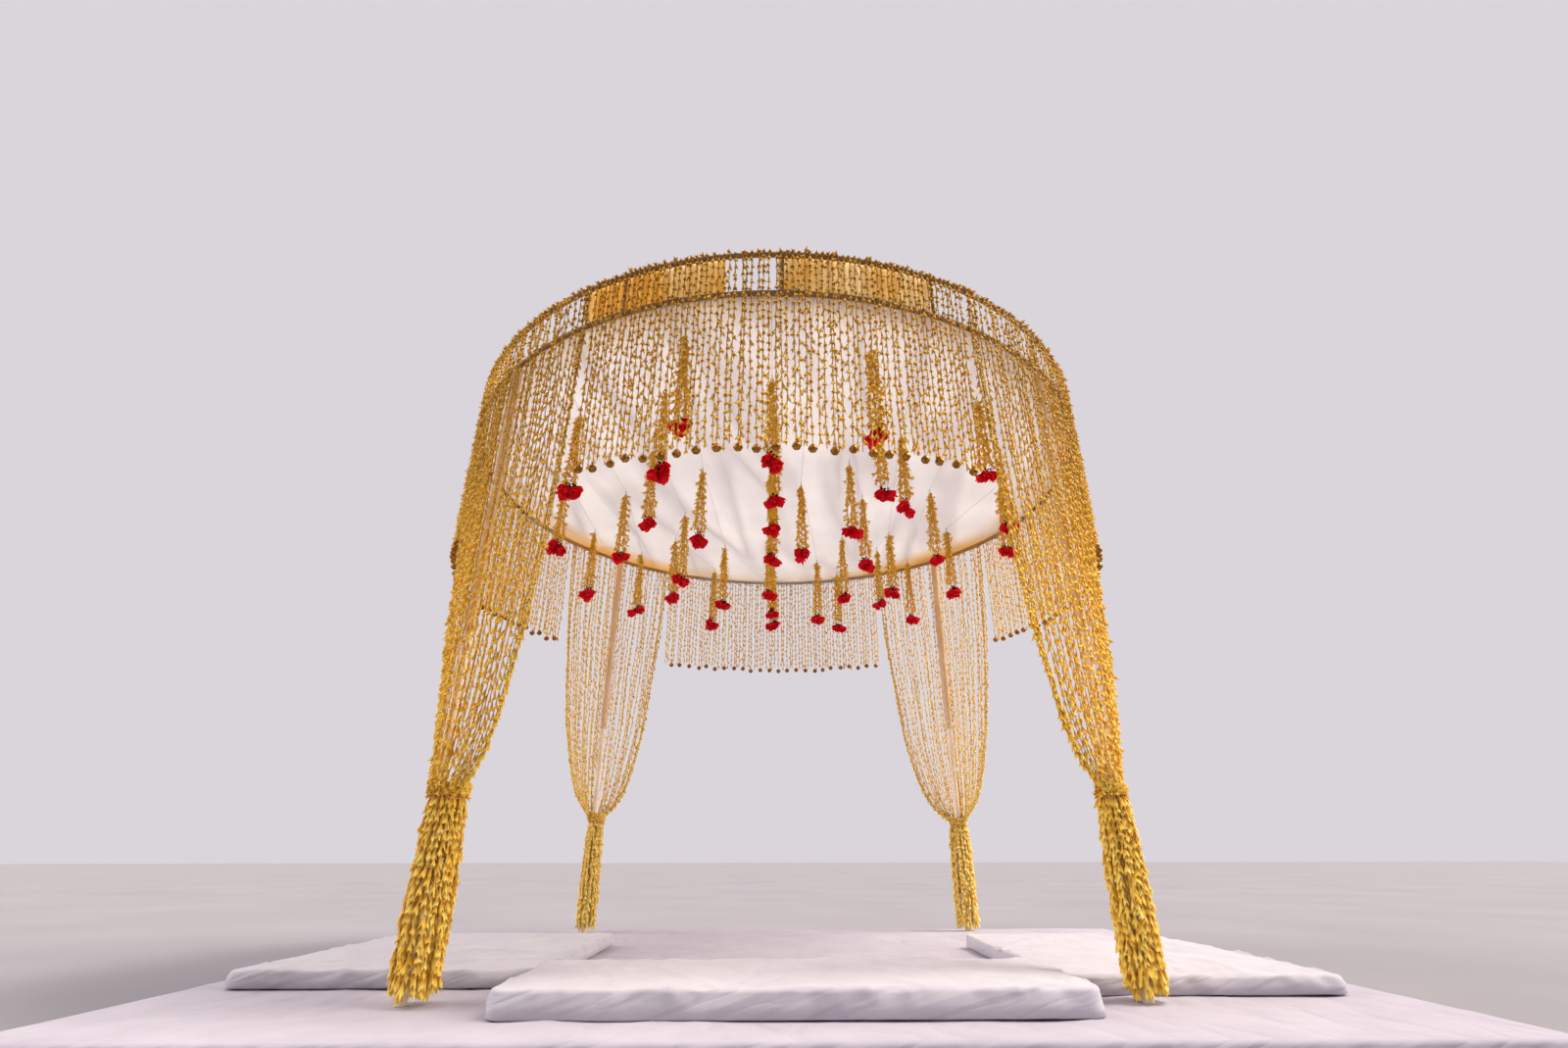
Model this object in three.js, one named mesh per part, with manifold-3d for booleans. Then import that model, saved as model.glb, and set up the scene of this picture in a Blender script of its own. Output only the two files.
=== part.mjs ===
// Round wedding canopy on a low stage: four posts carry a drum of two pipe rings, a cloth
// ceiling, curtains and corner drapes of threaded flower buds, and rows of flower tassels.
// Millimetres, +Z up. The origin is on the canopy's axis, on the ground under the stage.
// The front of the canopy faces -Y.

import * as THREE from 'three';
import { mergeVertices } from 'three/addons/utils/BufferGeometryUtils.js';
import Module from 'manifold-3d';

// Clearance between two pieces that touch
const GAP = 0.3;

// Stage: boards, and the white sheet drawn over them
const STAGE_WIDTH = 4500;
const STAGE_FRONT = -1800;
const STAGE_BACK = 1450;
const STAGE_TOP = 100;
const SHEET = 5.4;
const SHEET_HEM = 6;

// Mattresses on the stage, as [left, right, front, back, thickness, corner radius]
const MATTRESSES = {
  front_mattress: [-890, 1010, -1550, -860, 95, 60],
  left_mattress: [-2090, -910, -950, 500, 72, 60],
  right_mattress: [1030, 2050, -1150, 350, 72, 60],
};
const MATTRESS_EDGE = 22;

// Drum: two rings of pipe, in four bolted quarters, joined by struts
const RING_RADIUS = 1790;
const LOWER_RING = 2720;
const TOP_RING = 2935;
const PIPE = 12.5;
const STRUT = 8;
const STRUT_SPACING = 22.5;
const END_STRUT = 0.5;
const FACET = 5;
const QUARTER = 90;
const COUPLER = [60, 20, 36];

// Posts: a tube that slides in a wider sleeve, under the middle of each quarter
const POST_TUBE = 20;
const POST_SLEEVE = 25;
const SLEEVE_FOOT = 1400;
const ROUND = 16;

// Cloth ceiling inside the lower ring, and two swags of thin cloth inside the drum
const CEILING = 5;
const SWAG = 6;
const SWAG_TOP = TOP_RING + 5;
const SWAGS = { swag_left: [-120, -97.5], swag_right: [-90, -67.5] };

// Flower curtains outside the drum, by their first and last azimuth
const CURTAIN_TOP = TOP_RING + 25;
const CURTAIN_HEM = 1945;
const CURTAIN_THIN = 14;
const CURTAIN_THICK = 22;
const CURTAIN_COLUMN = 2.5;
const CURTAINS = {
  curtain_right: [-30, 30],
  curtain_back: [62.5, 120],
  curtain_left: [150, 210],
  curtain_front: [242.5, 297.5],
};

// Corner drapes between the curtains, fanning from round the tie up to the ring: [height over
// the tie, share of the way out to the ring, thickness]
const DRAPE_COLUMNS = 12;
const DRAPE_EDGE = 0.5;
const DRAPE_WRAP = 110;
const DRAPE_OUTSIDE = 26;
const DRAPE_THIN = 22;
const DRAPE = [
  [0.4, 0.17, 34],
  [60, 0.28, 30],
  [170, 0.44, 26],
  [350, 0.575, 24],
  [560, 0.7, DRAPE_THIN],
  [850, 0.8, DRAPE_THIN],
  [1250, 0.91, DRAPE_THIN],
];

// Tie garland and the gathered bunch under it, as [share of the radius, share of the height]
const TIE_HEIGHT = 60;
const TIE = [[0.9, 0], [0.97, 0.16], [1, 0.5], [0.97, 0.84], [0.9, 1]];
const BUNCH = [[0.97, 0], [1, 0.14], [1, 0.45], [0.94, 0.75], [0.86, 0.92], [0.78, 1]];
const TIE_INNER = 20;
const POST_HOLE = 20.8;

// Tassels of flower strings with roses at the end: profile as [radius, depth under the wire]
const TASSEL = [
  [0, 515], [52, 490], [62, 450], [30, 410], [28, 300], [18, 120], [3, 1], [0, 0],
];
const TASSEL_SIDES = 6;
const WIRE = 2;
const WIRE_SIDES = 6;

// Hooks of the tassels, as [x, y], on each wire that crosses the lower ring front to back
const WIRES = [
  [[-1330, -130], [-1330, 660]],
  [[-1060, -880], [-990, 50], [-1060, 1080]],
  [[-570, -1100], [-720, -520], [-640, 370], [-760, 810], [-520, 1450]],
  [[-420, -1540], [-460, -270], [-400, 940]],
  [[-30, -1220], [-20, -800], [-30, -430], [-30, 90], [-60, 740], [-40, 1110], [-30, 1400]],
  [[150, -90], [320, 1240]],
  [[430, -1450], [540, -890], [430, -360], [560, 90], [480, 750], [500, 1520]],
  [[690, -680], [820, 680], [770, 990]],
  [[1030, -1040], [990, 10], [1050, 1240]],
  [[1310, -460], [1420, -60], [1230, 620]],
];

// Corners: azimuth of the post, first and last curtain beside the drape, how far the tie's
// middle lies from the post in x, its height, its radius, and the radius of the bunch
const CORNERS = {
  back_right: [45, 30, 62.5, 0, 770, 60, 76],
  back_left: [135, 120, 150, 15, 800, 60, 66],
  front_left: [225, 210, 242.5, 35, 787, 78, 86],
  front_right: [315, 297.5, 330, 0, 785, 60, 74],
};

const finish = (color, roughness, metalness = 0) =>
  new THREE.MeshStandardMaterial({ color, roughness, metalness });
const BOARDS = finish(0x8a7358, 0.8);
const WHITE_COTTON = finish(0xece7ea, 0.9);
const CEILING_COTTON = finish(0xe6dcdf, 0.9);
const AMBER_VOILE = finish(0xd9a85c, 0.7);
const DARK_STEEL = finish(0x4a4038, 0.5, 0.6);
const WHITE_PAINT = finish(0xe9e4dc, 0.45);
const GOLD_BUDS = finish(0xd9a53c, 0.7);
const CREAM_BUDS = finish(0xe6cf8a, 0.7);

const canopy = new THREE.Group();
const wasm = await Module();
wasm.setup();

// Merges the vertices at one place, and drops the flat triangles that leaves at a pole
function weld(geometry) {
  geometry.deleteAttribute('normal');
  geometry.deleteAttribute('uv');
  const welded = mergeVertices(geometry, 1e-3);
  const index = welded.index.array;
  const kept = [];
  for (let i = 0; i < index.length; i += 3) {
    const [a, b, c] = [index[i], index[i + 1], index[i + 2]];
    if (a !== b && b !== c && c !== a) kept.push(a, b, c);
  }
  welded.setIndex(kept);
  return welded;
}

function toManifold(geometry) {
  const welded = weld(geometry);
  const vertProperties = new Float32Array(welded.attributes.position.array);
  const triVerts = new Uint32Array(welded.index.array);
  return new wasm.Manifold(new wasm.Mesh({ numProp: 3, vertProperties, triVerts }));
}

function toGeometry(manifold) {
  const { vertProperties, triVerts } = manifold.getMesh();
  const geometry = new THREE.BufferGeometry();
  geometry.setAttribute('position', new THREE.BufferAttribute(vertProperties, 3));
  geometry.setIndex(new THREE.BufferAttribute(triVerts, 1));
  return geometry;
}

function join(geometries) {
  const [first, ...rest] = geometries.map(toManifold);
  return toGeometry(rest.reduce((whole, piece) => whole.add(piece), first));
}

function cut(body, tool) {
  return toGeometry(toManifold(body).subtract(toManifold(tool)));
}

function addPart(name, geometry, material) {
  geometry.computeVertexNormals();
  const mesh = new THREE.Mesh(geometry, material);
  mesh.name = name;
  canopy.add(mesh);
  return mesh;
}

const radians = THREE.MathUtils.degToRad;

function polar(radius, azimuth, z = 0) {
  return new THREE.Vector3(radius * Math.cos(radians(azimuth)), radius * Math.sin(radians(azimuth)), z);
}

// Radius at an azimuth of a circle drawn with straight facets of FACET degrees
function faceted(radius, azimuth) {
  const fromMiddle = THREE.MathUtils.euclideanModulo(azimuth, FACET) - FACET / 2;
  return (radius * Math.cos(radians(FACET / 2))) / Math.cos(radians(fromMiddle));
}

// A regular outline whose flats lie at the given distance from its centre
function regularOutline(flat, sides) {
  const corner = flat / Math.cos(Math.PI / sides);
  const points = [];
  for (let i = 0; i < sides; i += 1) {
    const turn = (2 * Math.PI * (i + 0.5)) / sides;
    points.push(new THREE.Vector2(corner * Math.cos(turn), corner * Math.sin(turn)));
  }
  return new THREE.Shape(points);
}

// Level arc about the canopy's axis
class ArcPath extends THREE.Curve {
  constructor(radius, z, from, to) {
    super();
    Object.assign(this, { radius, z, from, to });
  }

  getPoint(t) {
    return polar(this.radius, THREE.MathUtils.lerp(this.from, this.to, t), this.z);
  }
}

// Solid of revolution about Z from a profile of [radius, height] read from the bottom up
function turned(profile, sides) {
  const points = profile.map(([radius, height]) => new THREE.Vector2(radius, height));
  return new THREE.LatheGeometry(points, sides).rotateX(Math.PI / 2);
}

function upright(radius, bottom, top, sides) {
  const tube = new THREE.CylinderGeometry(radius, radius, top - bottom, sides);
  return tube.rotateX(Math.PI / 2).translate(0, 0, (bottom + top) / 2);
}

function block(left, right, front, back, bottom, top) {
  const box = new THREE.BoxGeometry(right - left, back - front, top - bottom);
  return box.translate((left + right) / 2, (front + back) / 2, (bottom + top) / 2);
}

// Thin wall about the axis: place(column, side, level) gives each corner of its grid, with
// columns by rising azimuth, side 0 inside and 1 outside, and levels from the bottom up
function wall(columns, levels, place) {
  const box = new THREE.BoxGeometry(1, 1, 1, 1, columns, levels);
  const position = box.attributes.position;
  for (let i = 0; i < position.count; i += 1) {
    const side = Math.round(position.getX(i) + 0.5);
    const column = Math.round((position.getY(i) + 0.5) * columns);
    const level = Math.round((position.getZ(i) + 0.5) * levels);
    const { x, y, z } = place(column, side, level);
    position.setXYZ(i, x, y, z);
  }
  return weld(box);
}

// Stage boards, the sheet over them with its skirts, and the mattresses
function addStage() {
  const half = STAGE_WIDTH / 2;
  const inset = SHEET + GAP;
  const boards = [-half + inset, half - inset, STAGE_FRONT + inset, STAGE_BACK - inset];
  addPart('stage_deck', block(...boards, 0, STAGE_TOP - inset), BOARDS);
  const over = block(-half, half, STAGE_FRONT, STAGE_BACK, SHEET_HEM, STAGE_TOP);
  const under = block(
    -half + SHEET, half - SHEET, STAGE_FRONT + SHEET, STAGE_BACK - SHEET, 0, STAGE_TOP - SHEET,
  );
  addPart('stage_sheet', cut(over, under), WHITE_COTTON);
  for (const [name, [left, right, front, back, thickness, corner]] of Object.entries(MATTRESSES)) {
    const edge = MATTRESS_EDGE;
    const width = right - left - 2 * edge;
    const depth = back - front - 2 * edge;
    const round = corner - edge;
    const outline = new THREE.Shape();
    outline.moveTo(round, 0);
    outline.lineTo(width - round, 0);
    outline.absarc(width - round, round, round, -Math.PI / 2, 0);
    outline.absarc(width - round, depth - round, round, 0, Math.PI / 2);
    outline.absarc(round, depth - round, round, Math.PI / 2, Math.PI);
    outline.absarc(round, round, round, Math.PI, 1.5 * Math.PI);
    const pad = new THREE.ExtrudeGeometry(outline, {
      depth: thickness - 2 * edge,
      bevelThickness: edge,
      bevelSize: edge,
      bevelSegments: 2,
      curveSegments: 3,
    });
    pad.translate(left + edge, front + edge, STAGE_TOP + GAP + edge);
    addPart(name, weld(pad), WHITE_COTTON);
  }
}

// Tube and sleeve of each post
function addPosts() {
  for (const [corner, [azimuth]] of Object.entries(CORNERS)) {
    const foot = polar(RING_RADIUS, azimuth);
    const tube = upright(POST_TUBE, STAGE_TOP + GAP, SLEEVE_FOOT - GAP, ROUND);
    const sleeve = upright(POST_SLEEVE, SLEEVE_FOOT, LOWER_RING - PIPE - GAP, ROUND);
    addPart(`post_tube_${corner}`, weld(tube), WHITE_PAINT).position.copy(foot);
    addPart(`post_sleeve_${corner}`, weld(sleeve), WHITE_PAINT).position.copy(foot);
  }
}

// One quarter of the drum: two arcs of pipe, the struts between them and the end couplers
function addDrum() {
  const section = regularOutline(PIPE, 8);
  const steps = QUARTER / FACET;
  const end = THREE.MathUtils.radToDeg(GAP / 2 / RING_RADIUS);
  for (const [corner, [middle]] of Object.entries(CORNERS)) {
    const start = middle - QUARTER / 2;
    const pieces = [];
    for (const z of [LOWER_RING, TOP_RING]) {
      const extrudePath = new ArcPath(RING_RADIUS, z, start + end, start + QUARTER - end);
      pieces.push(new THREE.ExtrudeGeometry(section, { steps, extrudePath }));
      const coupler = new THREE.BoxGeometry(COUPLER[1], COUPLER[0], COUPLER[2]);
      coupler.translate(RING_RADIUS, COUPLER[0] / 2 + GAP / 2, z).rotateZ(radians(start));
      pieces.push(coupler);
    }
    for (let angle = 0; angle < QUARTER; angle += STRUT_SPACING) {
      const azimuth = start + Math.max(angle, END_STRUT);
      const { x, y } = polar(faceted(RING_RADIUS, azimuth), azimuth);
      pieces.push(upright(STRUT, LOWER_RING, TOP_RING, 8).translate(x, y, 0));
    }
    addPart(`drum_quarter_${corner}`, join(pieces), DARK_STEEL);
  }
}

// Ceiling cloth on the wires, and swags against the inside of the rings
function addCloths() {
  const radius = RING_RADIUS - PIPE - GAP;
  const bottom = LOWER_RING + GAP;
  const profile = [[0, bottom], [radius, bottom], [radius, bottom + CEILING], [0, bottom + CEILING]];
  addPart('ceiling_cloth', weld(turned(profile, 360 / FACET)), CEILING_COTTON);
  const heights = [bottom + CEILING + 3, SWAG_TOP];
  for (const [name, [from, to]] of Object.entries(SWAGS)) {
    const columns = (to - from) / (FACET / 2);
    const swag = wall(columns, 1, (column, side, level) => {
      const azimuth = THREE.MathUtils.lerp(from, to, column / columns);
      return polar(faceted(radius, azimuth) - (1 - side) * SWAG, azimuth, heights[level]);
    });
    addPart(name, swag, AMBER_VOILE);
  }
}

// Flower curtains, ribbed outside like their strings
function addCurtains() {
  const heights = [CURTAIN_HEM, CURTAIN_TOP];
  for (const [name, [from, to]] of Object.entries(CURTAINS)) {
    const columns = (to - from) / CURTAIN_COLUMN;
    const curtain = wall(columns, 1, (column, side, level) => {
      const azimuth = from + column * CURTAIN_COLUMN;
      const inner = faceted(RING_RADIUS + PIPE + GAP, azimuth);
      const thickness = column % 2 ? CURTAIN_THICK : CURTAIN_THIN;
      return polar(inner + side * thickness, azimuth, heights[level]);
    });
    addPart(name, curtain, GOLD_BUDS);
  }
}

// Corner drape outside each post, its tie garland and the bunch that hangs to the stage
function addDrapes() {
  for (const [corner, values] of Object.entries(CORNERS)) {
    const [middle, first, last, shift, height, tieRadius, bunchRadius] = values;
    const foot = polar(RING_RADIUS, middle);
    const tieTop = height + TIE_HEIGHT / 2;
    const tieBottom = height - TIE_HEIGHT / 2;
    const drape = drapeWall(middle, first, last, foot, shift, tieTop, tieRadius - TIE_INNER);
    addPart(`drape_${corner}`, drape, GOLD_BUDS);
    const tie = collar(TIE, tieRadius, tieBottom, tieTop, shift);
    addPart(`tie_${corner}`, tie, GOLD_BUDS).position.copy(foot);
    const bunch = collar(BUNCH, bunchRadius, STAGE_TOP + GAP, tieBottom - GAP, shift);
    addPart(`bunch_${corner}`, bunch, CREAM_BUDS).position.copy(foot);
  }
}

// Fan of strings: from an arc round the tie in straight lines out to an arc beside the ring,
// outside the post, with a step inwards where it passes over the rings
function drapeWall(middle, first, last, foot, shift, tieTop, arc) {
  const overPost = LOWER_RING - PIPE + 0.1;
  const atRing = LOWER_RING - 0.64 * PIPE;
  const levels = DRAPE.map(([above, share, thickness]) => [tieTop + above, share, thickness]);
  levels.push([overPost, 1, DRAPE_THIN], [atRing, 1, DRAPE_THIN], [CURTAIN_TOP, 1, DRAPE_THIN]);
  const column = (last - first - 2 * DRAPE_EDGE) / DRAPE_COLUMNS;
  const besideRing = (RING_RADIUS + PIPE + GAP) / Math.cos(radians(column / 2));
  const centre = new THREE.Vector3(shift, 0, 0).add(foot);
  return wall(DRAPE_COLUMNS, levels.length - 1, (place, side, level) => {
    const [height, share, thickness] = levels[level];
    const reach = height < atRing ? RING_RADIUS + DRAPE_OUTSIDE : besideRing;
    const azimuth = first + DRAPE_EDGE + place * column;
    const ringWay = polar(1, azimuth);
    const tieWay = polar(1, middle + DRAPE_WRAP * ((2 * place) / DRAPE_COLUMNS - 1));
    const start = tieWay.clone().multiplyScalar(arc).add(centre);
    const point = start.lerp(ringWay.clone().multiplyScalar(reach), share);
    const outwards = tieWay.lerp(ringWay, share).normalize();
    point.addScaledVector(outwards, side * thickness);
    return point.setZ(height);
  });
}

// Closed collar round a post tube, with its own middle moved in x from the post's
function collar(profile, radius, bottom, top, shift) {
  const height = top - bottom;
  const outline = profile.map(([across, up]) => [across * radius, up * height]);
  const body = turned([[0, 0], ...outline, [0, height]], ROUND).translate(shift, 0, bottom);
  return cut(body, upright(POST_HOLE, bottom - 1, top + 1, ROUND));
}

// Wire from ring to ring through its hooks, with a tassel at each hook
function addTassels() {
  const profile = TASSEL.map(([radius, depth]) => [radius, LOWER_RING - WIRE / 2 - depth]);
  const wireHeight = LOWER_RING - WIRE;
  const section = regularOutline(WIRE, WIRE_SIDES);
  WIRES.forEach((hooks, row) => {
    const pieces = hooks.map(([x, y]) => turned(profile, TASSEL_SIDES).translate(x, y, 0));
    const ends = [[hooks[0][0], -1], [hooks[hooks.length - 1][0], 1]].map(([x, way]) => {
      const flat = RING_RADIUS - PIPE - GAP;
      const slant = Math.asin(Math.abs(x) / flat);
      const azimuth = THREE.MathUtils.radToDeg(Math.atan2(way * Math.cos(slant) * flat, x));
      const reach = faceted(flat, azimuth) - 2 * WIRE * Math.tan(slant) * Math.cos(slant);
      return [x, way * Math.sqrt(reach ** 2 - x ** 2)];
    });
    const route = [ends[0], ...hooks, ends[1]].map(([x, y]) => new THREE.Vector3(x, y, wireHeight));
    for (let i = 1; i < route.length; i += 1) {
      const extrudePath = new THREE.LineCurve3(route[i - 1], route[i]);
      pieces.push(new THREE.ExtrudeGeometry(section, { steps: 1, extrudePath }));
    }
    addPart(`tassel_wire_${row + 1}`, join(pieces), GOLD_BUDS);
  });
}

addStage();
addPosts();
addDrum();
addCloths();
addCurtains();
addDrapes();
addTassels();

export default canopy;
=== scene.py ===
import math

import bpy
import numpy as np
from mathutils import Matrix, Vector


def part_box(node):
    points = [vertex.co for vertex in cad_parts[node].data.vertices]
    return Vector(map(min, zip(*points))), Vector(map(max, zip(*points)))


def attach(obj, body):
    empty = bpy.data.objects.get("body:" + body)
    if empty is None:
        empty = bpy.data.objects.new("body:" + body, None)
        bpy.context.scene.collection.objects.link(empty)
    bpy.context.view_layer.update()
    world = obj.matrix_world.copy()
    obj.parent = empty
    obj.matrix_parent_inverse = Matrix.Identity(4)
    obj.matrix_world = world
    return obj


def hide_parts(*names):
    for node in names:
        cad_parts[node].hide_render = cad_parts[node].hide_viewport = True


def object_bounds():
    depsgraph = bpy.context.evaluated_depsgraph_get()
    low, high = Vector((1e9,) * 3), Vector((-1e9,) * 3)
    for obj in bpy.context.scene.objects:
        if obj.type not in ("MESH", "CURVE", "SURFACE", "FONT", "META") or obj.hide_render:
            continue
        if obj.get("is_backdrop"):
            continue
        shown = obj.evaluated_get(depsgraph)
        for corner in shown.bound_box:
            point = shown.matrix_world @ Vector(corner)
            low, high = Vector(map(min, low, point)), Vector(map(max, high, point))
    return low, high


# A round wedding canopy: a drum of two pipe rings on four posts, dressed with strings of
# flower buds, over a low stage under white sheets. Metres, +Z up, the axis at x = y = 0,
# the front towards -Y. Each section is one piece, or one group of like pieces, in the
# order in which the canopy is put up.
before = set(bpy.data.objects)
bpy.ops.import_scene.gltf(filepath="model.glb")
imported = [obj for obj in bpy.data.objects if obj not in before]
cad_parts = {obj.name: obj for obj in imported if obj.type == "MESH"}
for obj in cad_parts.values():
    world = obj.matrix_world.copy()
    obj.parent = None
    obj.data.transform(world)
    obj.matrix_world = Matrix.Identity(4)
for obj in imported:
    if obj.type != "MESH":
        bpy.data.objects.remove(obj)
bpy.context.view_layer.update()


# Viewpoint: a wide lens low in front of the stage, tilted up into the drum.
EYE = (-0.005, -4.16, 0.56)
TILT_UP = 24.62
TURN_RIGHT = 0.64
ROLL = -0.08
PHOTO_WIDTH = 1600
FOCAL_PIXELS = 736.8
SENSOR_WIDTH = 36.0
FARTHEST_SEEN = 200.0

camera = bpy.data.objects.new("viewpoint", bpy.data.cameras.new("viewpoint"))
camera.data.sensor_width = SENSOR_WIDTH
camera.data.lens = SENSOR_WIDTH * FOCAL_PIXELS / PHOTO_WIDTH
camera.data.clip_end = FARTHEST_SEEN
turn = Matrix.Rotation(math.radians(-TURN_RIGHT), 4, "Z")
tilt = Matrix.Rotation(math.radians(90 + TILT_UP), 4, "X")
roll = Matrix.Rotation(math.radians(ROLL), 4, "Z")
camera.matrix_world = Matrix.Translation(EYE) @ turn @ tilt @ roll
bpy.context.scene.collection.objects.link(camera)
bpy.context.scene.camera = camera


# Floor: a plain pale ground that carries the stage and takes its shadow. It isn't part of
# the canopy.
def colour(code):
    """The linear colour of a six-digit sRGB code."""
    share = [int(code[i : i + 2], 16) / 255 for i in (0, 2, 4)]
    return [s / 12.92 if s < 0.04045 else ((s + 0.055) / 1.055) ** 2.4 for s in share] + [1.0]


def node(tree, kind, inputs=None, out=0, **settings):
    """Adds a shader node and gives one of its outputs. An input is a number, a row of numbers, an
    sRGB code or another node's output."""
    made = tree.nodes.new("ShaderNode" + kind)
    for key, value in settings.items():
        setattr(made, key, value)
    for key, value in (inputs or {}).items():
        if isinstance(value, bpy.types.NodeSocket):
            tree.links.new(value, made.inputs[key])
        else:
            made.inputs[key].default_value = colour(value) if isinstance(value, str) else value
    return made.outputs[out] if len(made.outputs) else None


def mix(tree, share, first, second):
    """The colour between two colours or colour outputs, at a share from 0 to 1."""
    return node(tree, "Mix", {0: share, 6: first, 7: second}, 2, data_type="RGBA")


def span(tree, value, low, high, start=0.0, end=1.0):
    """A number that goes from start to end as value goes from low to high, held beyond them."""
    limits = {"Value": value, "From Min": low, "From Max": high, "To Min": start, "To Max": end}
    return node(tree, "MapRange", limits)


def placed(tree, stretch, turn=(0.0, 0.0, 0.0)):
    """Object coordinates, turned in radians about X, Y and Z and then stretched along them."""
    at = node(tree, "TexCoord", out="Object")
    if any(turn):
        at = node(tree, "Mapping", {"Vector": at, "Rotation": turn})
    return node(tree, "Mapping", {"Vector": at, "Scale": stretch})


def noise(tree, scale, detail=3.0, stretch=(1.0, 1.0, 1.0), roughness=0.5):
    """Cloudy noise on Object coordinates, finer along the axes that are stretched."""
    fields = {"Vector": placed(tree, stretch), "Scale": scale, "Detail": detail, "Roughness": roughness}
    return node(tree, "TexNoise", fields, "Fac")


def bump(tree, height, strength, distance, under=None):
    """A bumped normal from a height, on top of another bump if one is given."""
    inputs = {"Height": height, "Strength": strength, "Distance": distance}
    if under is not None:
        inputs["Normal"] = under
    return node(tree, "Bump", inputs)


def finish_with(name, build):
    """A node material whose surface is the shader output that build makes in its tree."""
    material = bpy.data.materials.new(name)
    material.use_nodes = True
    tree = material.node_tree
    tree.nodes.clear()
    node(tree, "OutputMaterial", {"Surface": build(tree)})
    return material


def joined(blocks):
    """One set of points, faces and values from blocks of (points, faces) or (points, faces, values)."""
    points, faces, values, count = [], [], {}, 0
    for block in blocks:
        points.append(block[0])
        faces += [f + count for f in block[1]]
        for key, value in (block[2] if len(block) > 2 else {}).items():
            values.setdefault(key, []).append(value)
        count += len(block[0])
    return np.concatenate(points), faces, {k: np.concatenate(v) for k, v in values.items()}


def new_mesh(name, blocks, material, smooth=True):
    """An object from blocks for joined(): points, arrays of faces, and values with one number a point."""
    points, faces, values = joined(blocks)
    mesh = bpy.data.meshes.new(name)
    mesh.vertices.add(len(points))
    mesh.vertices.foreach_set("co", np.asarray(points, np.float32).ravel())
    corners = np.concatenate([f.ravel() for f in faces]).astype(np.int32)
    sizes = np.concatenate([np.full(len(f), f.shape[1], np.int32) for f in faces])
    mesh.loops.add(len(corners))
    mesh.loops.foreach_set("vertex_index", corners)
    mesh.polygons.add(len(sizes))
    mesh.polygons.foreach_set("loop_start", np.cumsum(sizes) - sizes)
    mesh.polygons.foreach_set("loop_total", sizes)
    mesh.polygons.foreach_set("use_smooth", np.full(len(sizes), smooth))
    mesh.update(calc_edges=True)
    for key, value in values.items():
        attribute = mesh.attributes.new(key, "FLOAT", "POINT")
        attribute.data.foreach_set("value", np.asarray(value, np.float32))
    mesh.materials.append(material)
    made = bpy.data.objects.new(name, mesh)
    bpy.context.scene.collection.objects.link(made)
    return made


def pale_ground(tree):
    tone = mix(tree, span(tree, noise(tree, 0.6), 0.3, 0.7), "88838a", "908b92")
    return node(tree, "BsdfPrincipled", {"Base Color": tone, "Roughness": 0.8})


FLOOR_REACH = 60.0
corner = np.array([[-1, -1, 0], [1, -1, 0], [1, 1, 0], [-1, 1, 0]]) * FLOOR_REACH
floor = new_mesh("floor", [(corner, [np.array([[0, 1, 2, 3]])])], finish_with("pale_ground", pale_ground))
floor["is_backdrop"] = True


# Stage boards: raw plywood boards on battens, hidden under the sheet. The frame's own block
# stays and gets the boards' grain.
BOARD_LENGTH = 1.8
BOARD_WIDTH = 0.12
BOARD_SEAM = 0.004


def plank_wood(tree):
    seams = node(tree, "TexBrick", {
        "Vector": node(tree, "TexCoord", out="Object"), "Scale": 1.0, "Mortar Size": BOARD_SEAM,
        "Brick Width": BOARD_LENGTH, "Row Height": BOARD_WIDTH,
        "Color1": "8a7358", "Color2": "7d6850", "Mortar": "3c3026",
    })
    grain = noise(tree, 9.0, 6.0, (1.0, 14.0, 14.0))
    tone = mix(tree, span(tree, grain, 0.3, 0.75, 0.0, 0.55), seams, "5d4935")
    surface = {"Base Color": tone, "Roughness": 0.8, "Normal": bump(tree, grain, 0.3, 0.002)}
    return node(tree, "BsdfPrincipled", surface)


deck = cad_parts["stage_deck"]
deck.data.materials.clear()
deck.data.materials.append(finish_with("plank_wood", plank_wood))


# Stage sheet: white cotton drawn over the boards and let fall to the ground all round.
# It lies loose, so long soft creases run over it and its skirt waves.
SHEET_STEP = 0.052
SHEET_EDGE = 0.014
SHEET_INSET = 0.002
SHEET_BELOW_TOP = 0.001
SHEET_OFF_GROUND = 0.004
SHEET_FLARE = 0.004
SHEET_THICKNESS = 0.0022
SHEET_CREASES = (90, (0.25, 1.1), (0.03, 0.06), (0.001, 0.0065))
SHEET_LIFT = 0.0006
SKIRT_OUT = 0.004
SKIRT_WAVE = 0.010


def table_quads(table, closed=False):
    """Quads between neighbouring rows and columns of a table of point numbers."""
    beside = np.roll(table, -1, 1) if closed else table[:, 1:]
    here = table if closed else table[:, :-1]
    return np.stack([here[:-1], beside[:-1], beside[1:], here[1:]], -1).reshape(-1, 4)


def rounded_grid(low, high, round_by, step):
    """An even grid over a rectangle with round corners. In each corner square the point
    (dx, dy) moves to (dx, dy) * larger / length, which draws squares onto quarter discs."""
    counts = np.maximum(np.round((high - low) / step).astype(int), 4) + 1
    x, y = np.meshgrid(*[np.linspace(low[i], high[i], counts[i]) for i in (0, 1)])
    plan = np.stack([x, y], -1)
    middle, half = (low + high) / 2, (high - low) / 2
    past = np.abs(plan - middle) - (half - round_by)
    in_corner = (past > 0).all(-1, keepdims=True)
    length = np.maximum(np.linalg.norm(past, axis=-1, keepdims=True), 1e-9)
    drawn = past * past.max(-1, keepdims=True) / length
    rounded = middle + np.sign(plan - middle) * (half - round_by + drawn)
    return np.where(in_corner, rounded, plan)


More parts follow.
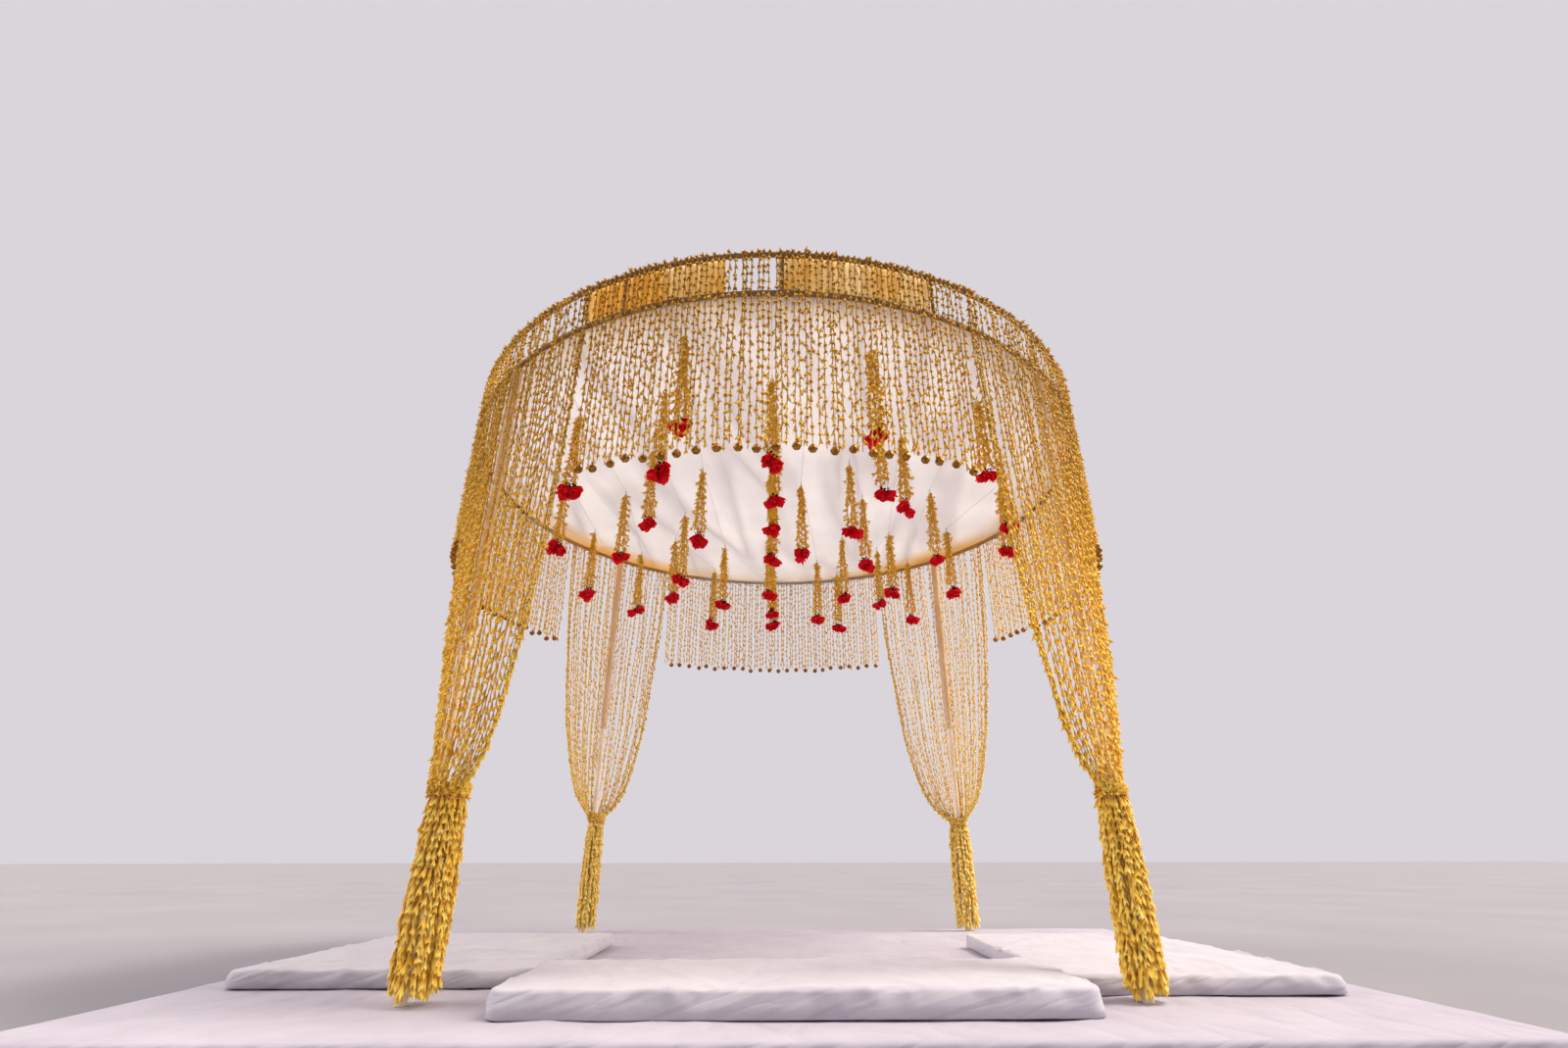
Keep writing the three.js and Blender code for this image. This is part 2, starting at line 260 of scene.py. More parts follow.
def cover(low, high, round_by, top, levels, step, square=False):
    """Cloth over a block: a rounded grid at the height top, whose border then runs through
    levels of (outset, height, share of the push that goes sideways). A square cover keeps its
    corners as it grows outwards. Returns the points, the direction in which cloth there lifts,
    the quads, how many points lie on top, the table of rings and each ring's run."""
    plan = rounded_grid(low, high, round_by, step)
    rows, columns = plan.shape[:2]
    number = np.arange(rows * columns).reshape(rows, columns)
    ring = np.concatenate([number[0], number[1:, -1], number[-1, -2::-1], number[-2:0:-1, 0]])
    flat = plan.reshape(-1, 2)
    edge = flat[ring]
    along = np.roll(edge, -1, 0) - np.roll(edge, 1, 0)
    out = np.stack([along[:, 1], -along[:, 0]], 1) / np.linalg.norm(along, axis=1)[:, None]
    if square:
        out = out / np.abs(out).max(1, keepdims=True)
    points = [np.column_stack([flat, np.full(len(flat), top)])]
    lifts = [np.tile([0.0, 0.0, 1.0], (len(flat), 1))]
    table = [ring]
    for outset, height, sideways in levels:
        points.append(np.column_stack([edge + out * outset, np.full(len(edge), height)]))
        rise = np.full(len(edge), math.sqrt(max(0.0, 1 - sideways**2)))
        lifts.append(np.column_stack([out * sideways, rise]))
        table.append(len(flat) + (len(table) - 1) * len(edge) + np.arange(len(edge)))
    quads = [table_quads(number), table_quads(np.array(table), closed=True)[:, ::-1]]
    run = np.append(0, np.cumsum(np.linalg.norm(np.diff(edge, axis=0), axis=1)))
    return np.concatenate(points), np.concatenate(lifts), quads, len(flat), table, run


def creases(x, y, draw, low, high, kind, heading=(0, math.pi), power=2.0):
    """Height of creases at x, y. Each is a ridge exp(-|across / width|^power), sharp at a power
    near 1, along a bowed line through a random point, and fades as exp(-(along / length)^2).
    A kind is how many there are, and the least and most of their length, width and height."""
    count, lengths, widths, heights = kind
    turn = draw.uniform(*heading, (count, 1))
    dx = x - draw.uniform(low[0], high[0], (count, 1))
    dy = y - draw.uniform(low[1], high[1], (count, 1))
    length = draw.uniform(*lengths, (count, 1))
    along = dx * np.cos(turn) + dy * np.sin(turn)
    bow = draw.uniform(-0.25, 0.25, (count, 1)) * along**2 / length
    across = dy * np.cos(turn) - dx * np.sin(turn) - bow
    width = draw.uniform(*widths, (count, 1))
    height = draw.uniform(*heights, (count, 1))
    return (height * np.exp(-np.abs(across / width) ** power - (along / length) ** 2)).sum(0)


def quarter_round(top, radius, steps=4):
    """Levels of cover() over a rounded edge: the angle from the top goes evenly to 90 degrees."""
    angles = np.linspace(0, math.pi / 2, steps + 1)[1:]
    return [(radius * math.sin(a), top - radius * (1 - math.cos(a)), math.sin(a)) for a in angles]


def sharp_folds(tree, scale, stretch):
    """A height for crumpled cloth: flat facets between sharp valleys, along the edges of uneven
    cells that noise bends."""
    at = placed(tree, stretch)
    bend = node(tree, "TexNoise", {"Vector": at, "Scale": scale * 0.8}, "Color")
    bent = node(tree, "Mix", {0: 0.16, 4: at, 5: bend}, 1, data_type="VECTOR")
    fields = {"Vector": bent, "Scale": scale}
    cells = node(tree, "TexVoronoi", fields, "Distance", feature="DISTANCE_TO_EDGE")
    return span(tree, cells, 0.0, 0.30)


def reckon(tree, operation, *values, clamp=False):
    """The result of one operation on numbers or outputs, held between 0 and 1 if clamped."""
    return node(tree, "Math", dict(enumerate(values)), operation=operation, use_clamp=clamp)


def drawn_folds(tree, scale, turn, stretch):
    """A height for cloth that is pulled: long sharp folds, from how far stretched noise is from
    its middle. They are turned by turn, in radians about X, Y and Z."""
    fields = {"Vector": placed(tree, stretch, turn), "Scale": scale, "Detail": 1.5}
    away = reckon(tree, "SUBTRACT", node(tree, "TexNoise", fields, "Fac"), 0.5)
    return span(tree, reckon(tree, "ABSOLUTE", away), 0.0, 0.12)


# Cotton for the white sheets, coloured grey-lilac as painted shade, with soft lilac patches of more
# painted shade.
def cotton_with_painted_shade(light, dark, painted_shade_lilac):
    def build(tree):
        tone = mix(tree, span(tree, noise(tree, 6.0, 4.0), 0.35, 0.7), dark, light)
        # Soft lilac patches over the cloth: painted shade.
        shade = mix(tree, span(tree, noise(tree, 1.3, 2.0), 0.4, 0.7, 0.0, 0.35), tone, painted_shade_lilac)
        normal = bump(tree, sharp_folds(tree, 1.4, (1.0, 0.6, 1.0)), 0.25, 0.030)
        normal = bump(tree, drawn_folds(tree, 1.7, (0.0, 0.30, 0.0), (1.0, 1.6, 9.0)), 0.20, 0.024, normal)
        normal = bump(tree, noise(tree, 30.0, 5.0), 0.2, 0.003, normal)
        normal = bump(tree, noise(tree, 900.0, 1.0), 0.12, 0.0006, normal)
        return node(tree, "BsdfPrincipled", {
            "Base Color": shade, "Roughness": 0.88, "Normal": normal,
            "Sheen Weight": 0.15, "Sheen Roughness": 0.5,
        })

    return build


def thicken(made, thickness, offset=-1.0):
    """Gives a sheet its thickness, inwards from the modelled side unless told otherwise."""
    solid = made.modifiers.new("thickness", "SOLIDIFY")
    solid.thickness = thickness
    solid.offset = offset


def plan_box(name, inset=0.0):
    """Lowest and highest corner of a frame node in plan, drawn in by inset, and its heights."""
    low, high = (np.array(c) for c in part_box(name))
    return low[:2] + inset, high[:2] - inset, low[2], high[2]


def piece(name, blocks, material, replaces=(), smooth=True):
    """A piece on the canopy's one body, with the material that gives its finish; it hides the
    frame nodes that it stands for."""
    made = new_mesh(name, blocks, material, smooth)
    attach(made, "root")
    if replaces:
        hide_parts(*replaces)
    return made


# The stage sheet's cotton is a darker copy than the mattresses': painted shade.
cotton = finish_with("white_cotton", cotton_with_painted_shade("b3abb8", "aaa2b0", "9c92a8"))
draw = np.random.default_rng(11)
low, high, _, top = plan_box("stage_sheet", SHEET_EDGE + SHEET_INSET)
upper = top - SHEET_BELOW_TOP
drop = top - SHEET_EDGE - SHEET_OFF_GROUND
fall = [(SHEET_EDGE + SHEET_FLARE * share, top - SHEET_EDGE - share * drop, 1.0)
        for share in (0.2, 0.4, 0.6, 0.8, 1.0)]
levels = quarter_round(upper, SHEET_EDGE) + fall
points, lifts, quads, on_top, table, run = cover(low, high, SHEET_INSET, upper, levels, SHEET_STEP, True)
height = SHEET_LIFT + creases(points[:, 0], points[:, 1], draw, low, high, SHEET_CREASES, power=1.4)
down = np.repeat(np.linspace(0.15, 1.0, len(table) - 1), len(run))
around = np.tile(run, len(table) - 1)
wave = np.sin(around * 23 + 2 * np.sin(around * 3.1)) * 0.5 + np.sin(around * 41 + 1.7) * 0.25
height[on_top:] = down**1.5 * (SKIRT_OUT + SKIRT_WAVE * wave) + 0.3 * height[on_top:]
stage_sheet = piece("stage_sheet_cloth", [(points + lifts * height[:, None], quads)], cotton,
                    replaces=["stage_sheet"])
thicken(stage_sheet, SHEET_THICKNESS)


# Mattresses: three thin cotton-filled pads, each wrapped in its own white sheet, laid as a
# U that is open at the back. The wrapping is pulled under, which draws folds down the sides.
PAD_STEP = 0.016
PAD_EDGE = 0.014
PAD_CORNER = 0.035
PAD_CROWN = 0.010
PAD_FLAT = 0.008
PAD_CREASES = (46, (0.15, 0.6), (0.014, 0.03), (-0.004, 0.009))
PAD_LUMPS = (16, (0.2, 0.5), (0.1, 0.25), (-0.007, 0.005))
PAD_SIDE_FOLDS = (130, (0.08, 0.24), (0.009, 0.018), (-0.007, 0.009))
# The mattresses' cotton is a lighter copy of the same grey-lilac: painted shade.
pad_cotton = finish_with("pad_cotton", cotton_with_painted_shade("c4bfc8", "bcb7c0", "b1a9bb"))

for seed, name in enumerate(("front_mattress", "left_mattress", "right_mattress"), 21):
    draw = np.random.default_rng(seed)
    low, high, foot, top = plan_box(name, PAD_EDGE)
    side = [(PAD_EDGE + 0.004, foot + PAD_EDGE + 0.5 * (top - foot - 2 * PAD_EDGE), 1.0),
            (PAD_EDGE + 0.003, foot + PAD_EDGE * 0.7, 1.0),
            (PAD_EDGE - 0.004, foot + PAD_EDGE * 0.3, 0.9), (0.0, foot + 0.002, 0.3)]
    levels = quarter_round(top - PAD_FLAT, PAD_EDGE) + side
    points, lifts, quads, on_top, table, run = cover(
        low, high, PAD_CORNER, top - PAD_FLAT, levels, PAD_STEP)
    x, y = points[:, 0], points[:, 1]
    across = np.abs(points[:, :2] - (low + high) / 2) / ((high - low) / 2)
    crown = PAD_CROWN * np.clip(1 - across[:, 0] ** 6, 0, 1) * np.clip(1 - across[:, 1] ** 6, 0, 1)
    loose = creases(x, y, draw, low, high, PAD_CREASES, power=1.2)
    lumps = creases(x, y, draw, low, high, PAD_LUMPS)
    height = crown + loose + lumps
    around = np.tile(run, len(table) - 1)
    folds = creases(around, points[on_top:, 2], draw, (0, foot), (run[-1], top), PAD_SIDE_FOLDS,
                    heading=(-0.9, 0.9), power=1.2)
    height[on_top:] = 0.25 * height[on_top:] + folds
    height[-len(run):] *= 0.2
    bottom = table[-1][None, ::-1]
    mattress = piece(name + "_pad", [(points + lifts * height[:, None], quads + [bottom])], pad_cotton,
                     replaces=[name])


# Posts: a steel tube painted cream white that slides in a wider sleeve, with a rolled lip and a
# clamp screw at the joint. The sleeve's tan colour is painted shade, for the shade that the ceiling
# and curtains cast on the upper post. They stand on the stage under the lower ring.
POST_SIDES = 28
CORNERS = {"back_right": 45, "back_left": 135, "front_left": 225, "front_right": 315}
RING_RADIUS = 1.790
BEVEL = 0.001
SLEEVE_LIP = 0.0018
SCREW = 0.006
SCREW_SIDES = 6
SCREW_HEIGHT = 0.030
SCREW_REACH = (-0.004, 0.010)
POST_SHARP = 35


def polar(radius, azimuth, height):
    """Points at a radius from the canopy's axis, an azimuth in degrees and a height."""
    angle = np.radians(azimuth)
    return np.stack(np.broadcast_arrays(radius * np.cos(angle), radius * np.sin(angle), height), -1)


def turned(profile, sides, centre=(0.0, 0.0, 0.0)):
    """A closed body of revolution: (radius, height) pairs, on the axis at both ends, read from
    the bottom up, each carried round a vertical axis at sides even angles."""
    profile = np.array(profile, float)
    angles = np.arange(sides) * 2 * math.pi / sides
    rings = profile[1:-1]
    body = np.stack([
        rings[:, :1] * np.cos(angles), rings[:, :1] * np.sin(angles),
        np.broadcast_to(rings[:, 1:], (len(rings), sides)),
    ], -1).reshape(-1, 3)
    points = np.vstack([[0, 0, profile[0, 1]], body, [0, 0, profile[-1, 1]]]) + centre
    table = 1 + np.arange(len(rings) * sides).reshape(-1, sides)
    after = np.roll(table, -1, 1)
    foot = np.stack([np.zeros(sides, int), after[0], table[0]], 1)
    crown = np.stack([np.full(sides, len(points) - 1), table[-1], after[-1]], 1)
    return points, [table_quads(table, closed=True), foot, crown]


def sideways(heading, away):
    """Two directions square to each heading and to each other, the first square to away too."""
    first = np.cross(heading, away)
    first /= np.linalg.norm(first, axis=-1, keepdims=True)
    return first, np.cross(heading, first)


def tubes(paths, radius, sides):
    """Round tubes along paths of shape (tubes, steps, 3): rings of even corners across each
    path's own direction, closed by a flat face at both ends."""
    count, steps = paths.shape[:2]
    heading = np.gradient(paths, axis=1)
    heading /= np.linalg.norm(heading, axis=2, keepdims=True)
    away = np.eye(3)[np.abs(heading.mean(1)).argmin(1)][:, None, :]
    first, second = sideways(heading, away)
    angle = (np.arange(sides) * 2 * math.pi / sides)[:, None]
    ring = first[:, :, None] * np.cos(angle) + second[:, :, None] * np.sin(angle)
    points = (paths[:, :, None] + ring * radius).reshape(-1, 3)
    table = np.arange(count * steps * sides).reshape(count, steps, sides)
    after = np.roll(table, -1, 2)
    quads = np.stack([table[:, :-1], after[:, :-1], after[:, 1:], table[:, 1:]], -1).reshape(-1, 4)
    return points, [quads, table[:, 0, ::-1], table[:, -1]]


def post_paint(light, dark):
    def build(tree):
        wear = noise(tree, 34.0, 6.0, (1.0, 1.0, 0.35), 0.65)
        tone = mix(tree, span(tree, noise(tree, 4.0), 0.35, 0.7), dark, light)
        chipped = mix(tree, span(tree, wear, 0.66, 0.7), tone, "6d5540")
        return node(tree, "BsdfPrincipled", {
            "Base Color": chipped, "Roughness": 0.42, "Normal": bump(tree, wear, 0.25, 0.001),
            "Coat Weight": 0.15,
        })

    return build


white_paint = finish_with("white_paint", post_paint("fff2de", "f6e2c4"))
# The sleeve's tan stands for the shade on the upper post: painted shade.
tan_paint = finish_with("tan_paint", post_paint("ecd0a8", "dcb98c"))
for corner_name, azimuth in CORNERS.items():
    foot = polar(RING_RADIUS, azimuth, 0.0)
    for part, lip, paint in (("post_tube", 0.0, white_paint), ("post_sleeve", SLEEVE_LIP, tan_paint)):
        low, high, bottom, top = plan_box(f"{part}_{corner_name}")
        radius = float((high - low)[0] / 2)
        profile = [
            (0, bottom), (radius - BEVEL, bottom), (radius + lip, bottom + 0.0012),
            (radius + lip, bottom + 0.010), (radius, bottom + 0.012), (radius, top - BEVEL),
            (radius - BEVEL, top), (0, top),
        ]
        blocks = [turned(profile, POST_SIDES, foot)]
        if lip:
            inwards = -foot / RING_RADIUS
            screw = foot + inwards * radius + (0, 0, bottom + SCREW_HEIGHT)
            path = np.array([screw + inwards * reach for reach in SCREW_REACH])
            blocks.append(tubes(path[None], SCREW, SCREW_SIDES))
        post = piece(f"{part}_painted_{corner_name}", blocks, paint,
                     replaces=[f"{part}_{corner_name}"])
        post.data.set_sharp_from_angle(angle=math.radians(POST_SHARP))


# Drum: two rings of weathered steel pipe in four quarters, joined by upright struts, with a
# bolted sleeve where one quarter meets the next.
LOWER_RING = 2.720
TOP_RING = 2.935
PIPE = 0.0125
PIPE_SIDES = 14
PIPE_SHARP = 40
ARC_STEPS = 60
STRUT = 0.008
STRUT_SIDES = 10
STRUTS = (0.5, 22.5, 45.0, 67.5)
SLEEVE_LENGTH = 0.060
SLEEVE = 0.0160
BOLT = 0.003
BOLT_SIDES = 6
BOLT_REACH = (-0.018, 0.018)
BOLT_HEAD = 0.006
BOLT_HEAD_REACH = (0.0155, 0.0178)
END_GAP = 0.005


def dark_steel(tree):
    rust = noise(tree, 40.0, 7.0, roughness=0.65)
    tone = mix(tree, span(tree, rust, 0.4, 0.65), "7c5f3e", "92714a")
    spots = mix(tree, span(tree, noise(tree, 120.0, 4.0), 0.6, 0.68), tone, "a5753f")
    return node(tree, "BsdfPrincipled", {
        "Base Color": spots, "Roughness": 0.6, "Metallic": 0.2, "Normal": bump(tree, rust, 0.4, 0.001),
    })


steel = finish_with("dark_steel", dark_steel)
sleeve_end = math.degrees(SLEEVE_LENGTH / RING_RADIUS)
for corner_name, middle in CORNERS.items():
    start = middle - 45
    blocks = []
    for height in (LOWER_RING, TOP_RING):
        azimuths = np.linspace(start + END_GAP, start + 90 - END_GAP, ARC_STEPS + 1)
        blocks.append(tubes(polar(RING_RADIUS, azimuths, height)[None], PIPE, PIPE_SIDES))
        sleeve = polar(RING_RADIUS, np.linspace(start + END_GAP, start + sleeve_end, 5), height)
        blocks.append(tubes(sleeve[None], SLEEVE, PIPE_SIDES))
        for share in (0.25, 0.75):
            at = start + share * sleeve_end
            for thickness, reach in ((BOLT, BOLT_REACH), (BOLT_HEAD, BOLT_HEAD_REACH)):
                path = polar(RING_RADIUS, at, height + np.array(reach))
                blocks.append(tubes(path[None], thickness, BOLT_SIDES))
    for strut in STRUTS:
        ends = polar(RING_RADIUS, start + strut, np.array([LOWER_RING, TOP_RING]))
        blocks.append(tubes(ends[None], STRUT, STRUT_SIDES))
    quarter = piece("drum_pipes_" + corner_name, blocks, steel,
                    replaces=["drum_quarter_" + corner_name])
    quarter.data.set_sharp_from_angle(angle=math.radians(PIPE_SHARP))


# Wires: ten thin zinc-coated wires stretched across the lower ring, under the cloth ceiling.
# Each turns a little at its tassels' hooks, which pull it sideways.
WIRE = 0.0014
WIRE_SIDES = 6
WIRE_HEIGHT = 2.718
WIRES = [
    [[-1.33, -0.13], [-1.33, 0.66]],
    [[-1.06, -0.88], [-0.99, 0.05], [-1.06, 1.08]],
    [[-0.57, -1.10], [-0.72, -0.52], [-0.64, 0.37], [-0.76, 0.81], [-0.52, 1.45]],
    [[-0.42, -1.54], [-0.46, -0.27], [-0.40, 0.94]],
    [[-0.03, -1.22], [-0.02, -0.80], [-0.03, -0.43], [-0.03, 0.09], [-0.06, 0.74], [-0.04, 1.11],
     [-0.03, 1.40]],
    [[0.15, -0.09], [0.32, 1.24]],
    [[0.43, -1.45], [0.54, -0.89], [0.43, -0.36], [0.56, 0.09], [0.48, 0.75], [0.50, 1.52]],
    [[0.69, -0.68], [0.82, 0.68], [0.77, 0.99]],
    [[1.03, -1.04], [0.99, 0.01], [1.05, 1.24]],
    [[1.31, -0.46], [1.42, -0.06], [1.23, 0.62]],
]

blocks, wire_lines = [], []
for hooks in WIRES:
    first, last = hooks[0][0], hooks[-1][0]
    inside = RING_RADIUS - PIPE
    ends = [[first, -math.sqrt(inside**2 - first**2)], [last, math.sqrt(inside**2 - last**2)]]
    line = np.array([ends[0], *hooks, ends[1]])
    wire_lines.append(line)
    path = np.column_stack([line, np.full(len(line), WIRE_HEIGHT)])
    blocks.append(tubes(path[None], WIRE, WIRE_SIDES))


def zinc_wire(tree):
    tone = mix(tree, span(tree, noise(tree, 60.0, 4.0), 0.4, 0.65), "e6e2de", "cfc9c4")
    return node(tree, "BsdfPrincipled", {"Base Color": tone, "Roughness": 0.5, "Metallic": 0.2})


piece("tassel_wires", blocks, finish_with("zinc_wire", zinc_wire))


# Ceiling cloth: pinkish white cotton over the wires, pinned round the lower ring. It sags a
# little between the wires, lies in long soft creases, and puckers at the ring.
CEILING_STEP = 0.048
CEILING_GAP = 0.004
CEILING_LIFT = 0.0018
CEILING_SAG = 0.020
SAG_BEYOND = 0.08
HELD_WITHIN = 0.06
PUCKER = 0.007
CEILING_CREASES = (46, (0.4, 1.3), (0.025, 0.055), (0.002, 0.014))
CEILING_DRAWN = (14, (0.8, 1.7), (0.05, 0.085), (0.010, 0.026))
CLOTH_THICKNESS = 0.0008


def coordinates(tree, kind="Object"):
    """X, Y and Z of the place that is shaded, or with "Generated" of a ray's heading."""
    return node(tree, "SeparateXYZ", {0: node(tree, "TexCoord", out=kind)}).node.outputs


def sheer(tree, share, surface, normal=None):
    """Thin stuff: a surface, with a share of the light let through in its own colour."""
    through = {"Color": surface["Base Color"]}
    if normal is not None:
        through["Normal"] = normal
    sides = {1: node(tree, "BsdfPrincipled", surface), 2: node(tree, "BsdfTranslucent", through)}
    return node(tree, "MixShader", {0: share, **sides})


# Pinkish white cotton, with painted shade darkening its folds and the band by the ring, and amber patches
# near the rim towards the back sides.
def ceiling_cotton(tree):
    x, y, _ = coordinates(tree)
    squares = reckon(tree, "ADD", reckon(tree, "MULTIPLY", x, x), reckon(tree, "MULTIPLY", y, y))
    rim = span(tree, reckon(tree, "POWER", squares, 0.5), 1.55, 1.79)
    soft = mix(tree, span(tree, noise(tree, 2.2, 4.0), 0.3, 0.7), "f3f1f2", "e9e7e9")
    folds = drawn_folds(tree, 1.5, (0.0, 0.0, 0.15), (1.9, 0.32, 1.0))
    # The folds are darkened towards grey: painted shade.
    soft = mix(tree, span(tree, folds, 0.0, 0.6, 0.26, 0.0), soft, "bfb8bc")
    # A beige band by the ring: painted shade.
    with_painted_shade = mix(tree, reckon(tree, "MULTIPLY", rim, 0.4), soft, "dcc8ac")
    aside = span(tree, reckon(tree, "ABSOLUTE", x), 0.5, 0.9)
    amber = reckon(tree, "MULTIPLY", span(tree, y, 0.2, 1.0), aside)
    for share in (span(tree, noise(tree, 3.0, 2.0), 0.34, 0.48), rim):
        amber = reckon(tree, "MULTIPLY", amber, share)
    tone = mix(tree, amber, with_painted_shade, "ecc880")
    normal = bump(tree, folds, 0.60, 0.026)
    normal = bump(tree, sharp_folds(tree, 3.6, (0.5, 1.0, 1.0)), 0.30, 0.010, normal)
    normal = bump(tree, noise(tree, 700.0, 1.0), 0.1, 0.0006, normal)
    cloth = {"Base Color": tone, "Roughness": 0.9, "Normal": normal, "Sheen Weight": 0.2}
    return sheer(tree, 0.6, cloth, normal)


def distance_to_lines(x, y, lines):
    """Distance from each point to the nearest of the lines, each a row of straight stretches."""
    starts = np.concatenate([line[:-1] for line in lines])
    ends = np.concatenate([line[1:] for line in lines])
    way = ends - starts
    offset = np.stack([x, y], -1)[:, None] - starts
    share = np.clip((offset * way).sum(-1) / (way**2).sum(-1), 0, 1)
    return np.linalg.norm(offset - share[..., None] * way, axis=-1).min(1)


draw = np.random.default_rng(31)
radius = RING_RADIUS - PIPE - CEILING_GAP
bottom = LOWER_RING + CEILING_LIFT
pinned = [(0.0025, bottom + 0.006, 0.5), (0.006, bottom + 0.0125, 0.2), (0.013, bottom + 0.0150, 0.0)]
square = np.array([radius, radius])
points, lifts, quads, on_top, *_ = cover(-square, square, radius, bottom, pinned, CEILING_STEP)
x, y = points[:, 0], points[:, 1]
from_axis = np.hypot(x, y)
held = np.clip((radius - from_axis) / HELD_WITHIN, 0, 1)
sag = CEILING_SAG * (1 - np.exp(-distance_to_lines(x, y, wire_lines) / SAG_BEYOND)) * held
soft = creases(x, y, draw, -square, square, CEILING_CREASES, power=1.4)
drawn = creases(x, y, draw, -square, square, CEILING_DRAWN, heading=(1.35, 1.8), power=1.4)
soft = np.abs(soft) + drawn
azimuth = np.arctan2(y, x)
near_ring = np.clip((from_axis - 1.45) / 0.3, 0, 1) ** 2
pucker = PUCKER * np.sin(44 * azimuth + 3 * np.sin(5 * azimuth)) * near_ring
height = soft * held + (pucker + PUCKER) * held - sag
height[on_top:] = 0.0
ceiling_finish = finish_with("ceiling_cotton", ceiling_cotton)
ceiling = piece("ceiling_cloth_sheet", [(points + lifts * height[:, None], quads)], ceiling_finish,
                replaces=["ceiling_cloth"])
thicken(ceiling, CLOTH_THICKNESS, 1.0)


# Ceiling hem: behind, the cloth's edge goes round the lower ring as a sleeve, so that it hides
# the pipe. It is the ceiling's own cotton, and it gathers a little along the pipe.
HEM_FROM = 14.0
HEM_TO = 166.0
HEM_STEPS = 240
HEM_SIDES = 8
HEM_LOOSE = 0.0034
HEM_LOWER = 0.001
GATHER = 0.0009

azimuth = np.linspace(HEM_FROM, HEM_TO, HEM_STEPS)[:, None]
turn = (np.arange(HEM_SIDES) * 2 * math.pi / HEM_SIDES)[None]
draw = np.random.default_rng(33)
gather = np.sin(azimuth * 3.1) * np.sin(azimuth * 7.7 + turn) + draw.normal(0, 0.35, (HEM_STEPS, 1))
across = PIPE + HEM_LOOSE + GATHER * gather
height = LOWER_RING + across * np.sin(turn) - HEM_LOWER
points = polar(RING_RADIUS + across * np.cos(turn), azimuth, height)
table = np.arange(HEM_STEPS * HEM_SIDES).reshape(HEM_STEPS, HEM_SIDES)
hem = piece("ceiling_hem_sheet", [(points.reshape(-1, 3), [table_quads(table, closed=True)[:, ::-1]])],
            ceiling_finish)
thicken(hem, CLOTH_THICKNESS)


# Swags: two lengths of sheer amber voile, gathered into pleats and hung inside the front of
# the drum, from the top ring down to the lower one.
SWAG_DEPTH = 0.022
SWAG_GAP = 0.002
SWAG_OVER = 0.012
SWAG_PLEATS = 11.0
SWAG_SLACK = (8, (0.3, 0.6), (0.05, 0.12), (0.1, 0.5))
VOILE_THICKNESS = 0.0006


def amber_voile(tree):
    threads = noise(tree, 260.0, 2.0, (1.0, 1.0, 0.25))
    patch = span(tree, noise(tree, 3.4, 3.0, (1.0, 1.0, 0.5)), 0.38, 0.62)
    tone = mix(tree, patch, "fff4d6", "f8d27a")
    woven = mix(tree, span(tree, threads, 0.4, 0.6, 0.0, 0.3), tone, "f9d88a")
    surface = {"Base Color": woven, "Roughness": 0.6, "Normal": bump(tree, threads, 0.2, 0.0006)}
    return sheer(tree, 0.65, surface)


voile = finish_with("amber_voile", amber_voile)
SWAGS = {"swag_left": (-120.0, -97.5, 0.0, 41), "swag_right": (-90.0, -67.5, 0.012, 42)}
for name, (start, end, ragged, seed) in SWAGS.items():
    draw = np.random.default_rng(seed)
    along, down = np.meshgrid(np.linspace(0, 1, 121), np.linspace(0, 1, 13))
    pleat = np.sin(2 * math.pi * (SWAG_PLEATS * along + 0.4 * np.sin(6 * along + seed)))
    pleat = pleat * (0.5 + 0.5 * down)
    slack = creases(along.ravel(), down.ravel(), draw, (0, 0), (1, 1), SWAG_SLACK).reshape(along.shape)
    radius = RING_RADIUS - PIPE - SWAG_GAP - SWAG_DEPTH * (0.5 + 0.35 * pleat + 0.15 * slack)
    low_edge = LOWER_RING + 0.018 + ragged * (1 + 0.5 * np.sin(9 * along + 1.0) + 0.3 * np.sin(23 * along))
    height = TOP_RING + SWAG_OVER + down * (low_edge - TOP_RING - SWAG_OVER)
    points = polar(radius, start + (end - start) * along, height).reshape(-1, 3)
    table = np.arange(along.size).reshape(along.shape)
    swag = piece(name + "_voile", [(points, [table_quads(table)])], voile,
                 replaces=[name])
    thicken(swag, VOILE_THICKNESS, 0.0)


# Flower strings: small fresh flowers threaded one below another on cotton. Each is a
# thin stem that opens below into a star of petals, so a string reads as a row of darts.
PITCH = 0.040
FLOWER = 0.035
NECK = 0.0046
NOTCH = 0.0060
NECK_DEPTH = 0.48
NOTCH_DEPTH = 0.70
MOUTH_DEPTH = 0.50
PETALS = 4
PETAL_REACH = 0.0158
THREAD = 0.0021
THREAD_SIDES = 3


def copied(faces, count, corners):
    """Faces of count copies of one shape, each with that many corners of its own."""
    return (faces + (np.arange(count) * corners)[:, None, None]).reshape(-1, faces.shape[1])


